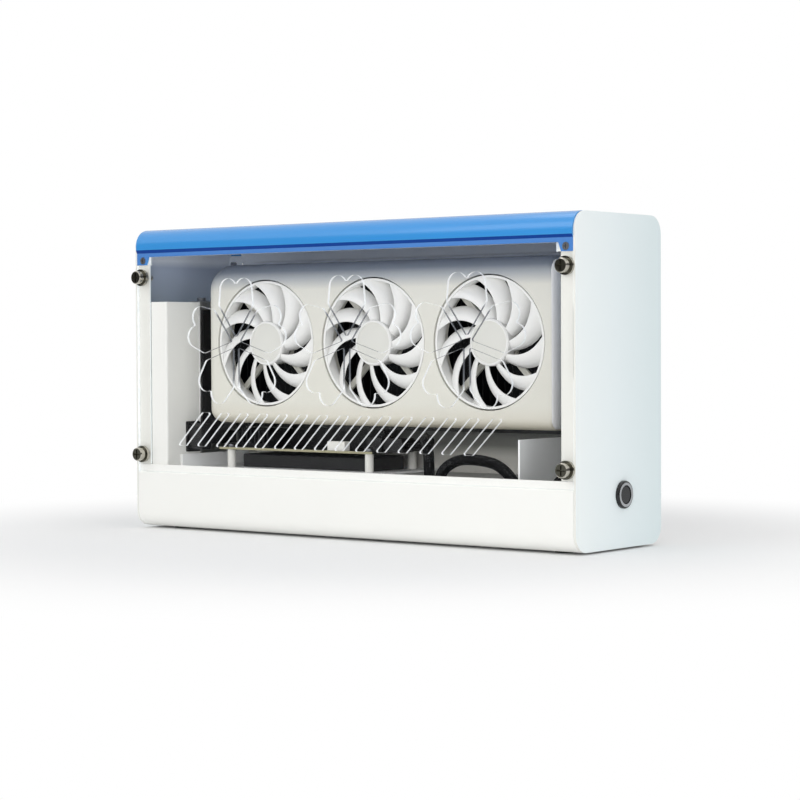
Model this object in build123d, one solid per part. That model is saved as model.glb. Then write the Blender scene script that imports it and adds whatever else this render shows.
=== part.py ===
from build123d import *
from math import cos, pi, radians, sin
import os

# External graphics card enclosure. Sizes are in millimetres.
# X runs along the front from the left end, Y from the front face to the back, Z up from the case floor.
# The finished pieces are moved so that the origin lies at the bottom centre of the whole object.

# Case
case_length = 380.0
case_depth = 101.5
case_height = 214.0
sheet = 1.2
end_plate = 1.5
corner_radius = 12.0
gap = 0.2
past = 1.0
foot_radius = 7.0
foot_taper = 0.5
foot_height = 1.5
foot_inset = 24.0

# Vent slots in the back wall
vent_inset = 60.0
vent_bottom = 84.0
vent_headroom = 34.0
vent_pitch_x = 16.0
vent_pitch_z = 9.0
vent_length = 11.0
vent_width = 4.0

# Folded top cover
band_height = 15.0
groove_slope = 2.0
lip_height = 2.7
ear_drop = 5.8
ear_width = 9.0
ear_slope = 2.5
ear_relief = 3.5
ear_screw_inset = 7.2
ear_screw_rise = 3.2
ear_screw_radius = 2.5
ear_screw_shank = 1.5
ear_screw_length = 6.0

# Front window and the rims that it is screwed to
window_thickness = 2.0
window_bottom = 40.0
rim_width = 12.0
rim_tab = 1.5
flange_overlap = 5.0
thumb_inset = 6.5
thumb_rise = 12.3
thumb_drop = 14.5
thumb_head_radius = 4.75
thumb_collar_radius = 6.0
thumb_collar = 2.0
thumb_chamfer = 0.6
thumb_proud = 7.0
thumb_shank_radius = 2.0
thumb_shank = 9.0
thumb_recess_radius = 3.2
thumb_recess = 2.5
thumb_clearance = 0.1
nut_radius = 3.6
nut_height = 3.0

# Openings cut in the window
slot_pitch = 18.0
slot_width = 8.0
slot_height = 24.0
slot_rise = 19.2
slot_start = 40.4
slot_end_space = 50.0
slot_corner = 1.0
petal_count = 5
petal_space = 9.1
petal_reach = 0.3
petal_tip = 0.088
petal_half = 0.353
petal_corner = 0.585
petal_shoulder = 0.872
petal_shoulder_half = 0.324
petal_peak_half = 0.187
petal_dip = 0.883
petal_bend = 2.5
petal_point_bend = 1.2
blossom_shift = 3.1

# Slot wall at the left end
wall_inset = 27.0
wall_flange = 14.8
wall_rise = 104.7
wall_setback = 8.0
recess_front = 30.35
recess_back = 13.15
recess_bottom = 45.0
recess_top = 4.0
recess_corner = 5.0
port_window_width = 13.0
port_window_height = 86.0
port_window_rise = 14.0
card_slot_pitch = 20.32
link_width = 10.2
link_height = 18.6
link_rise = 7.2
link_setback = 42.3
link_corner = 1.8
link_rim = 1.7
link_rim_thickness = 1.4
link_behind = 4.0
link_length = 14.0
link_mouth_width = 5.2
link_mouth_height = 12.4

# Card bracket, its screws and the ports in it
bracket_setback = 34.0
bracket_width = 38.7
bracket_drop = 5.3
bracket_thickness = 1.0
bracket_tab = 10.0
bracket_screw_inset = 5.5
bracket_screw_shift = 2.0
bracket_screw_radius = 1.5
bracket_screw_head = 3.4
bracket_screw_head_height = 2.6
bracket_screw_length = 5.0
bracket_screw_bend = 0.8
bracket_notch = 2.2
bracket_edge = 12.2
port_rise = 24.0
port_pitch = 21.0
port_length = 16.6
top_port_length = 14.6
port_thickness = 5.2
port_clearance = 0.1
port_shell = 0.8
port_depth = 14.0
port_mouth = 9.0
port_base_start = 2.0
grille_slot_length = 8.0
grille_slot_width = 4.4
grille_pitch = 9.4
grille_count = 9

# Graphics card
card_start = 41.5
card_end_space = 28.0
card_headroom = 25.8
card_clearance = 5.0
board_to_back = 29.5
board_thickness = 1.6
shroud_depth = 40.0
shroud_wall = 2.0
shroud_edge = 7.0
shroud_low_corner = 10.0
shroud_right_corner = 14.0
shroud_left_corner = 18.0
fan_rim_top = 11.2
fan_rim_bottom = 12.2
fan_space = 7.3
fan_shift = 3.55
fan_gap = 1.2
fan_ring = 2.6
fan_depth = 12.0
fan_recess = 0.8
fan_thickness = 8.8
bridge_arm = 4.0
bridge_thickness = 2.0
bridge_set = 2.0
bridge_hole = 2.2
hub_radius = 17.0
hub_edge = 1.2
hub_wall = 2.5
hub_face = 2.4
hub_dish = 0.5
hub_dish_rim = 2.6
shaft_radius = 1.5
shaft_clearance = 0.05
sleeve_radius = 3.2
stator_inset = 4.0
stator_front = 6.0
shaft_front = 3.4
blade_count = 11
blade_thickness = 1.4
blade_edge = 0.5
blade_camber = 0.13
blade_sweeps = (0, 17, 38)
blade_pitches = (44, 36, 26)
blade_chords = (1.01, 0.81, 0.73)
blade_root_sink = 0.6
blade_level = 5.4

# Card's board, cooler and back plate
pcb_edge_gap = 12.0
pcb_wall_gap = 2.5
pcb_drop = 4.0
pcb_headroom = 5.0
finger_start = 87.0
finger_length = 84.0
finger_drop = 13.0
fin_pitch = 6.0
fin_thickness = 0.8
fin_margin = 2.0
sink_clearance = 5.0
sink_left = 8.0
sink_right = 16.0
sink_inset = 8.0
sink_base_gap = 4.5
sink_base = 2.5
chip_size = 36.0
chip_height = 2.0
chip_shift = 18.0
pad_margin = 2.0
backplate_gap = 2.4
backplate_thickness = 1.2
backplate_wall_gap = 4.0
backplate_edge_gap = 14.0
backplate_drop = 2.0
backplate_headroom = 6.0
backplate_corner = 3.0
backplate_vent_start = 90.0
backplate_vent_end = 8.0
backplate_vent_inset = 15.0
backplate_vent_pitch = 12.0
backplate_vent_length = 9.0
backplate_vent_width = 5.0
backplate_post = 3.0
backplate_post_low = 11.2
backplate_post_high = 12.2
socket_setback = 12.0
socket_rise = 37.2
socket_height = 24.0
socket_wall = 1.2
socket_length = 11.5
socket_inset = 2.5
plug_clearance = 0.2
plug_tongue_length = 9.8
plug_length = 15.0
plug_rise = 6.0
plug_corner = 1.5

# Tray and dock board
tray_gap = 0.1
tray_front = 6.0
tray_margin = 10.1
tray_lip_length = 123.0
tray_lip_height = 8.0
tray_tab_inset = 12.0
tray_tab_height = 9.0
standoff_radius = 3.0
standoff_height = 12.7
standoff_left = 8.5
standoff_right = 5.6
standoff_front = 4.0
standoff_back = 6.0
dock_start = 50.0
dock_length = 141.4
dock_setback = 38.5
dock_depth = 58.5
board_screw_head = 2.7
board_screw_height = 2.0
board_screw_bend = 0.7
slot_body_height = 12.5
slot_body_half = 3.8
slot_body_margin = 3.0
slot_groove_half = 1.1
slot_groove_floor = 2.0
cooler_start = 10.0
cooler_front = 8.5
cooler_depth = 24.0
cooler_base = 3.0
cooler_height = 13.0
cooler_pitch = 4.0
cooler_fin = 1.6
cooler_fin_count = 8
header_start = 100.0
header_length = 15.5
header_front = 2.0
header_depth = 5.5
header_height = 6.2
header_wall = 1.2
board_socket_length = 13.0
board_socket_front = 10.5
board_socket_width = 16.0
board_socket_height = 9.0
board_plug_body = 14.6
board_plug_overhang = 2.0
board_plug_foot = 0.6

# Divider plate and power supply
divider_inset = 47.8
divider_front = 8.0
divider_foot = 10.0
divider_foot_start = 60.0
divider_margin = 5.0
supply_length = 150.0
supply_front = 17.4
supply_height = 40.5
supply_wall = 1.0
supply_exit_radius = 5.0
supply_exit_place = 10.0
supply_vent_start = 24.0
supply_vent_end = 96.0
supply_vent_low = 8.0
supply_vent_high = 34.0
supply_vent_pitch_x = 8.0
supply_vent_pitch_z = 6.0
supply_vent_length = 5.5
supply_vent_width = 3.0
supply_screw_side = 8.0
supply_screw_low = 8.0
supply_screw_high = 6.0
supply_screw_radius = 1.5
supply_screw_head = 3.0
supply_screw_head_height = 2.2
supply_screw_length = 4.0
screw_clearance = 0.1
supply_fan_clearance = 2.5
supply_fan_front = 11.0
supply_fan_space = 3.2
supply_fan_depth = 12.0
supply_fan_wall = 1.6
supply_fan_corner = 3.0
supply_fan_gap = 1.2
supply_fan_arm = 2.4
supply_fan_arm_thickness = 1.6
supply_blade_count = 7
supply_blade_thickness = 1.2
supply_hub_depth = 7.5
supply_hub_recess = 1.5
supply_hub_bore = 5.0
supply_inlet_width = 13.6
supply_inlet_edge = 6.2
supply_inlet_bottom = 9.2
supply_inlet_height = 23.6
supply_inlet_depth = 16.0
supply_inlet_wall = 2.0
supply_inlet_mouth = 8.0

# Push button in the right end
button_y = 54.9
button_z = 34.2
button_radius = 9.0
button_proud = 2.4
button_bevel = 1.2
button_barrel_wall = 1.2
button_barrel_length = 22.0
button_cap_gap = 0.1
button_cap_radius = 6.0
button_cap_length = 7.0
button_cap_edge = 0.8
button_sink = 0.4
button_travel = 1.2
button_rest_gap = 1.8
button_nut_margin = 2.6
button_nut_thickness = 3.0

# Mains inlet in the back wall
inlet_inset = 26.0
inlet_rise = 22.2
inlet_flange_width = 31.0
inlet_flange_height = 24.5
inlet_flange = 2.0
inlet_width = 27.0
inlet_height = 19.8
inlet_corner = 2.0
inlet_depth = 24.0
inlet_mouth_width = 23.0
inlet_mouth_height = 15.0
inlet_mouth_depth = 15.0
inlet_mouth_chamfer = 3.0
inlet_pin_pitch = 7.0
inlet_pin_shift = 2.5
inlet_pin_half = 1.0
inlet_pin_height = 2.0
mains_plug_length = 16.8
mains_plug_corner = 2.0
lead_radius = 2.6
cable_radius = 3.25

# Places that follow from the sizes above
front_flange = window_thickness
back = case_depth
groove_height = case_height - band_height - groove_slope
lip_bottom = groove_height - lip_height
ear_bottom = lip_bottom - ear_drop
ear_screw_height = ear_bottom + ear_screw_rise
window_top = lip_bottom - gap
thumb_low = window_bottom + thumb_rise
thumb_high = window_top - thumb_drop
tray_top = 2 * sheet + supply_height + tray_gap
board_level = tray_top + standoff_height
dock_top = board_level + board_thickness
slot_top = dock_top + slot_body_height
shroud_bottom = slot_top + card_clearance
shroud_top = case_height - card_headroom
card_end = case_length - card_end_space
board_plane = back - board_to_back
board_back = board_plane + board_thickness
shroud_front = board_plane - shroud_depth
fan_opening = (shroud_top - shroud_bottom - fan_rim_top - fan_rim_bottom) / 2
fan_height = shroud_top - fan_rim_top - fan_opening
fan_pitch = 2 * fan_opening + fan_space
fan_count = int((card_end - card_start - fan_space) // fan_pitch)
middle_fan = (card_start + card_end) / 2 - fan_shift
bridge_front = shroud_front + fan_depth + bridge_set
stator_radius = hub_radius - stator_inset
blossom_radius = fan_opening + petal_reach
slot_low = window_bottom + slot_rise
slot_count = 1 + int((case_length - slot_start - slot_width - slot_height - slot_end_space) // slot_pitch)
wall_top = dock_top + wall_rise
shelf_bottom = wall_top - sheet
wall_front = front_flange + sheet + gap
wall_back = back - sheet - gap / 2
bracket_front = board_plane - bracket_setback
bracket_back = bracket_front + bracket_width
bracket_bottom = dock_top - bracket_drop
first_slot = bracket_back - bracket_edge
port_window_middle = bracket_bottom + port_window_rise + port_window_height / 2
link_y = board_plane - link_setback
link_z = dock_top + link_rise
socket_front = board_plane - socket_setback
socket_low = shroud_bottom + socket_rise
socket_high = socket_low + socket_height
dock_front = board_plane - dock_setback
dock_back = dock_front + dock_depth
dock_end = dock_start + dock_length
tray_end = dock_end + tray_margin
tray_floor = tray_top - sheet
divider_x = case_length - divider_inset
divider_top = shroud_bottom - card_clearance
supply_x1 = divider_x - sheet
supply_x0 = supply_x1 - supply_length
supply_y0 = supply_front
supply_y1 = back - corner_radius - gap / 2
supply_z1 = sheet + supply_height
supply_middle = (sheet + supply_z1) / 2
supply_fan_room = supply_y1 - supply_y0 - supply_fan_front - supply_fan_space - supply_inlet_width
supply_fan_size = min(supply_height - supply_fan_clearance, supply_fan_room - supply_inlet_edge)
supply_fan_y = supply_y0 + supply_fan_front + supply_fan_size / 2
supply_fan_bore = supply_fan_size / 2 - supply_fan_wall
supply_hub_radius = supply_fan_size / 4
supply_inlet_y = supply_y1 - supply_inlet_edge - supply_inlet_width
inlet_x = case_length - inlet_inset
inlet_z = divider_top + inlet_rise


def block(x0, x1, y0, y1, z0, z1):
    """Box between three pairs of planes."""
    centre = Pos((x0 + x1) / 2, (y0 + y1) / 2, (z0 + z1) / 2)
    return centre * Box(x1 - x0, y1 - y0, z1 - z0)


def along_x(outline, x0, x1):
    """Extrude an outline drawn in Y and Z from x0 to x1."""
    return extrude(Plane.YZ.offset(x0) * outline, amount=x1 - x0)


def along_y(outline, y0, y1):
    """Extrude an outline drawn in X and Z from y0 to y1."""
    return extrude(Plane.XZ.offset(-y0) * outline, amount=y0 - y1)


def along_z(outline, z0, z1):
    """Extrude an outline drawn in X and Y from z0 to z1."""
    return extrude(Plane.XY.offset(z0) * outline, amount=z1 - z0)


def rod_x(x0, x1, y, z, radius):
    return along_x(Pos(y, z) * Circle(radius), x0, x1)


def rod_y(x, y0, y1, z, radius):
    return along_y(Pos(x, z) * Circle(radius), y0, y1)


def rod_z(x, y, z0, z1, radius):
    return along_z(Pos(x, y) * Circle(radius), z0, z1)


def round_edges(solid, axis, last=True):
    """Circular edges at the far or near end of a turned piece."""
    edges = solid.edges().filter_by(GeomType.CIRCLE).sort_by(axis)
    return edges[-1] if last else edges[0]


def folded(points, bends, side):
    """Section of a folded sheet whose outer face follows the points."""
    line = FilletPolyline(*points, radius=bends)
    return make_face(offset(line, amount=sheet, side=side, closed=True).edges())


def slot_rows(x0, x1, z0, z1, pitch_x, pitch_z, length, width):
    """Upright rows of short rounded vent slots."""
    columns = int((x1 - x0) // pitch_x)
    rows = int((z1 - z0) // pitch_z)
    middle = Pos((x0 + x1) / 2, (z0 + z1) / 2)
    slot = SlotOverall(length, width)
    return Sketch() + [middle * place * slot for place in GridLocations(pitch_x, pitch_z, columns, rows)]


def end_outline(shrink=0.0):
    """Rounded outline of the case seen from its end."""
    size_y = case_depth - 2 * shrink
    size_z = case_height - 2 * shrink
    middle = Pos(case_depth / 2, case_height / 2)
    return middle * RectangleRounded(size_y, size_z, corner_radius - shrink)


def within_shell(solid):
    """Trim a cross wall to the inside of the folded chassis."""
    return solid & along_x(end_outline(sheet + gap / 2), 0, case_length)


def from_right(shape):
    """Mirror a piece or outline of the left end to the right end."""
    return mirror(shape, about=Plane.YZ.offset(case_length / 2))


def thumb_points():
    """Centres of the four thumbscrews in the window's corners."""
    columns = (thumb_inset, case_length - thumb_inset)
    return [(x, z) for x in columns for z in (thumb_low, thumb_high)]


def ear_screw_points():
    return [(x, ear_screw_height) for x in (ear_screw_inset, case_length - ear_screw_inset)]


def fan_centres():
    first = middle_fan - fan_pitch * (fan_count - 1) / 2
    return [first + fan_pitch * i for i in range(fan_count)]


def blossom_centres():
    pitch = 2 * blossom_radius + petal_space
    first = middle_fan + blossom_shift - pitch * (fan_count - 1) / 2
    return [first + pitch * i for i in range(fan_count)]


# Folded chassis: apron, floor and back wall in one sheet
def chassis_shell():
    joggle = back - sheet - 2 * gap
    apron_top = window_bottom - gap
    shelf = lip_bottom - 4 * gap
    points = [
        (front_flange, window_bottom + flange_overlap),
        (front_flange, apron_top),
        (0, apron_top),
        (0, 0),
        (back, 0),
        (back, shelf),
        (joggle, shelf),
        (joggle, case_height - corner_radius),
    ]
    fold = sheet + gap / 2
    section = folded(points, [gap, fold, corner_radius, corner_radius, fold, gap], Side.LEFT)
    shell = along_x(section, end_plate + gap, case_length - end_plate - gap)
    vents = slot_rows(vent_inset, case_length - vent_inset, vent_bottom, case_height - vent_headroom,
                      vent_pitch_x, vent_pitch_z, vent_length, vent_width)
    hole = Rectangle(inlet_width + 2 * gap, inlet_height + 2 * gap)
    shell -= along_y(vents + Pos(inlet_x, inlet_z) * hole, back - 2 * sheet, back + past)
    notch = end_plate + ear_width + ear_relief
    corner = block(0, notch, joggle - 2 * sheet, back + past, ear_bottom - gap, case_height)
    return shell - corner - from_right(corner)


def end_panel():
    """Pan with an outer plate, a window rim, ear tabs and welded tabs for the chassis."""
    panel = along_x(end_outline(), 0, end_plate)
    low = window_bottom + flange_overlap + gap
    high = ear_bottom + sheet
    panel += block(0, rim_width, front_flange, front_flange + sheet, low, high)
    tab_end = rim_width + rim_tab
    panel += block(0, tab_end, sheet, 2 * sheet, ear_bottom, groove_height)
    panel += block(0, tab_end, back - 2 * sheet, back - sheet, ear_bottom, groove_height)
    panel += block(0, tab_end, sheet, front_flange + sheet, ear_bottom, high)
    for z in (sheet, case_height - 2 * sheet):
        panel += block(0, rim_width, 2 * corner_radius, back - 2 * corner_radius, z, z + sheet)
    for z in (thumb_low, thumb_high):
        panel -= rod_y(thumb_inset, 0, front_flange + sheet + past, z, thumb_shank_radius + thumb_clearance)
    hole = ear_screw_shank + thumb_clearance
    panel -= rod_y(ear_screw_inset, 0, 3 * sheet, ear_screw_height, hole)
    return panel - rod_y(ear_screw_inset, back - 3 * sheet, back, ear_screw_height, hole)


def end_panel_left():
    """End panel with the recess that leaves room for the video plugs."""
    low = recess_bottom
    high = wall_top - recess_top
    recess_end = back - recess_back
    recess = Pos((recess_front + recess_end) / 2, (low + high) / 2)
    recess *= RectangleRounded(recess_end - recess_front, high - low, recess_corner)
    return end_panel() - along_x(recess, -past, end_plate + past)


def end_panel_right():
    hole = rod_x(case_length - end_plate - past, case_length + past, button_y, button_z,
                 button_radius - button_barrel_wall + gap)
    return from_right(end_panel()) - hole


# Folded top cover with a groove, a lip and two screwed ears on each long side
def top_cover():
    points = [
        (0, lip_bottom),
        (0, groove_height),
        (-sheet, groove_height + groove_slope),
        (-sheet, case_height),
        (back + sheet, case_height),
        (back + sheet, groove_height + groove_slope),
        (back, groove_height),
        (back, lip_bottom),
    ]
    fold = sheet + gap
    section = folded(points, [fold, fold, corner_radius, corner_radius, fold, fold], Side.RIGHT)
    start = end_plate + gap / 2
    cover = along_x(section, start, case_length - start)
    root = lip_bottom + past
    ear = make_face(Polyline(
        (start, root),
        (start, ear_bottom),
        (start + ear_width, ear_bottom),
        (start + ear_width + ear_slope, root),
        close=True,
    ))
    ears = ear + from_right(ear)
    cover += along_y(ears, 0, sheet) + along_y(ears, back - sheet, back)
    for x, z in ear_screw_points():
        sink = Cone(ear_screw_radius + gap, ear_screw_shank + gap, sheet)
        cover -= Pos(x, sheet / 2, z) * Rot(X=-90) * sink
        cover -= Pos(x, back - sheet / 2, z) * Rot(X=90) * sink
    return cover


def cross_recess(radius, depth):
    """Cross cut into a screw head, opening towards -Y at y = 0."""
    arm = Rectangle(2 * radius, radius / 3)
    cross = arm + Rot(Z=90) * arm
    return along_y(cross, 0, depth)


def cover_screws():
    """Countersunk screws with their heads flush in the cover's ears."""
    head = Pos(0, sheet / 2, 0) * Rot(X=-90) * Cone(ear_screw_radius, ear_screw_shank, sheet)
    shank = rod_y(0, sheet, ear_screw_length, 0, ear_screw_shank)
    front = head + shank - cross_recess(ear_screw_shank, ear_screw_shank / 2)
    screws = [Pos(x, 0, z) * front for x, z in ear_screw_points()]
    screws += [Pos(x, back, z) * Rot(Z=180) * front for x, z in ear_screw_points()]
    return Compound(screws)


# Clear front window with three blossom vents and a row of slanted slots
def blossom_petal():
    """One heart-shaped petal of a vent, pointing up from the vent's centre."""
    tip = (0, petal_tip * blossom_radius)
    corner = (petal_half * blossom_radius, petal_corner * blossom_radius)
    shoulder = (petal_shoulder_half * blossom_radius, petal_shoulder * blossom_radius)
    peak = (petal_peak_half * blossom_radius, blossom_radius)
    dip = (0, petal_dip * blossom_radius)
    side = FilletPolyline(tip, corner, shoulder, radius=petal_bend)
    right = [*side.edges(), ThreePointArc(shoulder, peak, dip)]
    left = [mirror(edge, about=Plane.YZ) for edge in right]
    petal = make_face([*right, *left])
    points = petal.vertices().filter_by(lambda v: abs(v.X) < gap)
    return fillet(points, petal_point_bend)


def slanted_slot():
    slot = make_face(Polyline(
        (0, 0),
        (slot_width, 0),
        (slot_width + slot_height, slot_height),
        (slot_height, slot_height),
        close=True,
    ))
    return fillet(slot.vertices(), slot_corner)


def window_panel():
    side = end_plate + gap
    notch = ear_width + end_plate + ear_relief
    outline = make_face(Polyline(
        (side, window_bottom),
        (case_length - side, window_bottom),
        (case_length - side, ear_bottom - gap),
        (case_length - notch, ear_bottom - gap),
        (case_length - notch, window_top),
        (notch, window_top),
        (notch, ear_bottom - gap),
        (side, ear_bottom - gap),
        close=True,
    ))
    cuts = [Pos(x, z) * Circle(thumb_shank_radius + thumb_clearance) for x, z in thumb_points()]
    cuts += [Pos(slot_start + slot_pitch * i, slot_low) * slanted_slot() for i in range(slot_count)]
    cuts += [Pos(x, fan_height) * Rot(Z=360 / petal_count * i) * blossom_petal()
             for x in blossom_centres() for i in range(petal_count)]
    return along_y(outline - cuts, 0, window_thickness)


def window_thumbscrews():
    collar = rod_y(0, -thumb_collar, 0, 0, thumb_collar_radius)
    head = rod_y(0, -thumb_proud, -thumb_collar, 0, thumb_head_radius)
    head = chamfer(round_edges(head, Axis.Y, last=False), thumb_chamfer)
    screw = collar + head + rod_y(0, 0, thumb_shank, 0, thumb_shank_radius)
    screw -= Pos(0, -thumb_proud, 0) * cross_recess(thumb_recess_radius, thumb_recess)
    return Compound([Pos(x, 0, z) * screw for x, z in thumb_points()])


def window_nuts():
    start = front_flange + sheet
    ring = RegularPolygon(nut_radius, 6) - Circle(thumb_shank_radius + thumb_clearance / 2)
    nut = along_y(ring, start, start + nut_height)
    return Compound([Pos(x, 0, z) * nut for x, z in thumb_points()])


def rubber_feet():
    foot = Cone(foot_radius - foot_taper, foot_radius, foot_height)
    places = [
        Pos(x, y, -foot_height / 2)
        for x in (foot_inset, case_length - foot_inset)
        for y in (foot_inset, case_depth - foot_inset)
    ]
    return Compound([place * foot for place in places])


# Slot wall: a pan open to the left, with the shelf for the card's bracket on top
def bracket_screw_points():
    """Places of the two screws that hold the bracket, one for each slot."""
    row = first_slot + bracket_screw_shift
    return [(wall_inset - bracket_screw_inset, row - card_slot_pitch * i) for i in range(2)]


def slot_wall():
    left = wall_inset - wall_flange
    outer = block(left, wall_inset, wall_front, wall_back, sheet, wall_top)
    outer = fillet(outer.edges().filter_by(Axis.Z).group_by(Axis.X)[-1], 1.4 * sheet)
    wall = outer - block(left - past, wall_inset - sheet, wall_front + sheet, wall_back - sheet, 0, shelf_bottom)
    wall += block(end_plate + gap, left + past, bracket_front - card_clearance, wall_back - wall_setback,
                  shelf_bottom, wall_top)
    openings = Pos(link_y, link_z) * link_outline(gap)
    window = Rectangle(port_window_width, port_window_height)
    for i in range(2):
        openings += Pos(first_slot - card_slot_pitch * i, port_window_middle) * window
    wall -= along_x(openings, wall_inset - sheet - past, wall_inset + past)
    for x, y in bracket_screw_points():
        wall -= rod_z(x, y, shelf_bottom - past, wall_top + past, bracket_screw_radius + screw_clearance)
    return within_shell(wall)


def link_outline(margin=0.0):
    """Outline of the data socket, with its four corners cut off."""
    outline = Rectangle(link_width + 2 * margin, link_height + 2 * margin)
    return chamfer(outline.vertices(), link_corner)


def link_socket():
    """Data socket in the slot wall, seen from inside as a black block."""
    place = Pos(link_y, link_z)
    body = along_x(place * link_outline(), wall_inset - link_behind, wall_inset + link_length)
    rim = RectangleRounded(link_width + 2 * link_rim, link_height + 2 * link_rim, link_rim / 2)
    mouth = RectangleRounded(link_mouth_width, link_mouth_height, link_rim / 2)
    body += along_x(place * rim, wall_inset, wall_inset + link_rim_thickness)
    return body - along_x(place * mouth, wall_inset - link_behind - past, wall_inset + link_behind)


# Card bracket, ports and bracket screws
def port_list():
    """Heights and lengths of the video ports, from the bottom up."""
    low = bracket_bottom + port_rise
    lengths = (port_length, port_length, port_length, top_port_length)
    return [(low + port_pitch * i, length) for i, length in enumerate(lengths)]


def card_bracket():
    face = wall_inset + bracket_thickness
    top = wall_top + bracket_thickness
    plate = block(wall_inset, face, bracket_front, bracket_back, bracket_bottom, top)
    tab = block(wall_inset - bracket_tab, face, bracket_front, bracket_back, wall_top, top)
    fold = (plate + tab).edges().filter_by(Axis.Y).group_by(Axis.X)[-1].sort_by(Axis.Z)[-1]
    bracket = fillet(fold, bracket_thickness)
    for x, y in bracket_screw_points():
        bracket -= rod_z(x, y, wall_top - past, top + past, bracket_notch)
    cuts = Sketch() + [Pos(first_slot, z) * Rectangle(port_thickness + 2 * port_clearance, length)
                       for z, length in port_list()]
    grille = Pos(first_slot - card_slot_pitch, port_window_middle)
    bar = SlotOverall(grille_slot_length, grille_slot_width)
    cuts += [grille * place * bar for place in GridLocations(grille_pitch, grille_pitch, 1, grille_count)]
    return bracket - along_x(cuts, wall_inset - past, face + past)


def video_port(z, length):
    """Metal shell of one port, with the foot that joins it to the card's board."""
    half = length / 2 - port_clearance
    thin = port_thickness / 2
    end = wall_inset + port_depth
    body = block(wall_inset - bracket_thickness, end, first_slot - thin, first_slot + thin, z - half, z + half)
    body += block(wall_inset + port_base_start, end, first_slot + thin, board_plane, z - half, z + half)
    inside = half - port_shell
    return body - block(wall_inset - 2 * bracket_thickness, wall_inset + port_mouth,
                        first_slot - thin + port_shell, first_slot + thin - port_shell, z - inside, z + inside)


def card_ports():
    return Compound([video_port(z, length) for z, length in port_list()])


def bracket_screws():
    seat = wall_top + bracket_thickness
    top = seat + bracket_screw_head_height
    head = rod_z(0, 0, seat, top, bracket_screw_head)
    head = fillet(round_edges(head, Axis.Z), bracket_screw_bend)
    screw = head + rod_z(0, 0, wall_top - bracket_screw_length, seat, bracket_screw_radius)
    screw -= Pos(0, 0, top) * Rot(X=-90) * cross_recess(bracket_screw_head / 2, bracket_screw_head / 2)
    return Compound([Pos(x, y, 0) * screw for x, y in bracket_screw_points()])


# Graphics card
def shroud_outline(shrink=0.0):
    """Front outline of the card's shroud with three different corner radii."""
    x0 = card_start + shrink
    x1 = card_end - shrink
    z0 = shroud_bottom + shrink
    z1 = shroud_top - shrink
    corners = (shroud_low_corner, shroud_low_corner, shroud_right_corner, shroud_left_corner)
    line = FilletPolyline(
        (x0, z0),
        (x1, z0),
        (x1, z1),
        (x0, z1),
        close=True,
        radius=[corner - shrink for corner in corners],
    )
    return make_face(line.edges())


def card_shroud():
    """Moulded cover of the card, with round openings and a stator bridge behind each fan."""
    body = along_y(shroud_outline(), shroud_front, board_plane)
    body = fillet(body.edges().group_by(Axis.Y)[0], shroud_edge)
    hollow = along_y(shroud_outline(shroud_wall), shroud_front + shroud_wall, board_plane + past)
    body -= fillet(hollow.edges().group_by(Axis.Y)[0], shroud_edge - shroud_wall)
    tunnel = Circle(fan_opening + shroud_wall) - Circle(fan_opening)
    arm = Rectangle(2 * fan_opening + shroud_wall, bridge_arm)
    bridge = Rot(Z=45) * arm + Rot(Z=-45) * arm + Circle(hub_radius - bridge_set)
    bridge -= Circle(bridge_hole)
    bridge_back = bridge_front + bridge_thickness
    for x in fan_centres():
        place = Pos(x, fan_height)
        body -= rod_y(x, shroud_front - past, shroud_front + shroud_wall + past, fan_height, fan_opening)
        body += along_y(place * tunnel, shroud_front + shroud_wall / 2, bridge_back)
        body += along_y(place * bridge, bridge_front, bridge_back)
    return body - block(card_end - 2 * shroud_wall, card_end + past, socket_front - past, board_plane + past,
                        socket_low - past, socket_high + past)


def fan_motor():
    """Stator on the shroud's bridge, with the fixed shaft that carries the rotor."""
    stator = rod_y(0, shroud_front + stator_front, bridge_front, 0, stator_radius)
    return stator + rod_y(0, shroud_front + shaft_front, bridge_front + bridge_thickness, 0, shaft_radius)


def fan_blade(root, tip, level, count, thickness):
    """One swept and twisted blade, lofted through cambered sections at three radii."""
    sections = []
    for i, (sweep, pitch, share) in enumerate(zip(blade_sweeps, blade_pitches, blade_chords)):
        radius = root + (tip - root) * i / 2
        chord = share * 2 * pi * radius / count
        half = chord / 2
        edge = thickness * blade_edge / 2
        crown = blade_camber * chord
        outline = make_face([
            ThreePointArc((-half, edge), (0, thickness / 2 - crown), (half, edge)),
            Line((half, edge), (half, -edge)),
            ThreePointArc((half, -edge), (0, -thickness / 2 - crown), (-half, -edge)),
            Line((-half, -edge), (-half, edge)),
        ])
        across = cos(radians(sweep))
        aside = sin(radians(sweep))
        plane = Plane(
            origin=(-radius * aside, level, radius * across),
            x_dir=(across, 0, aside),
            z_dir=(-aside, 0, across),
        )
        sections.append(plane * Rot(Z=pitch) * outline)
    return loft(sections)


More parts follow.
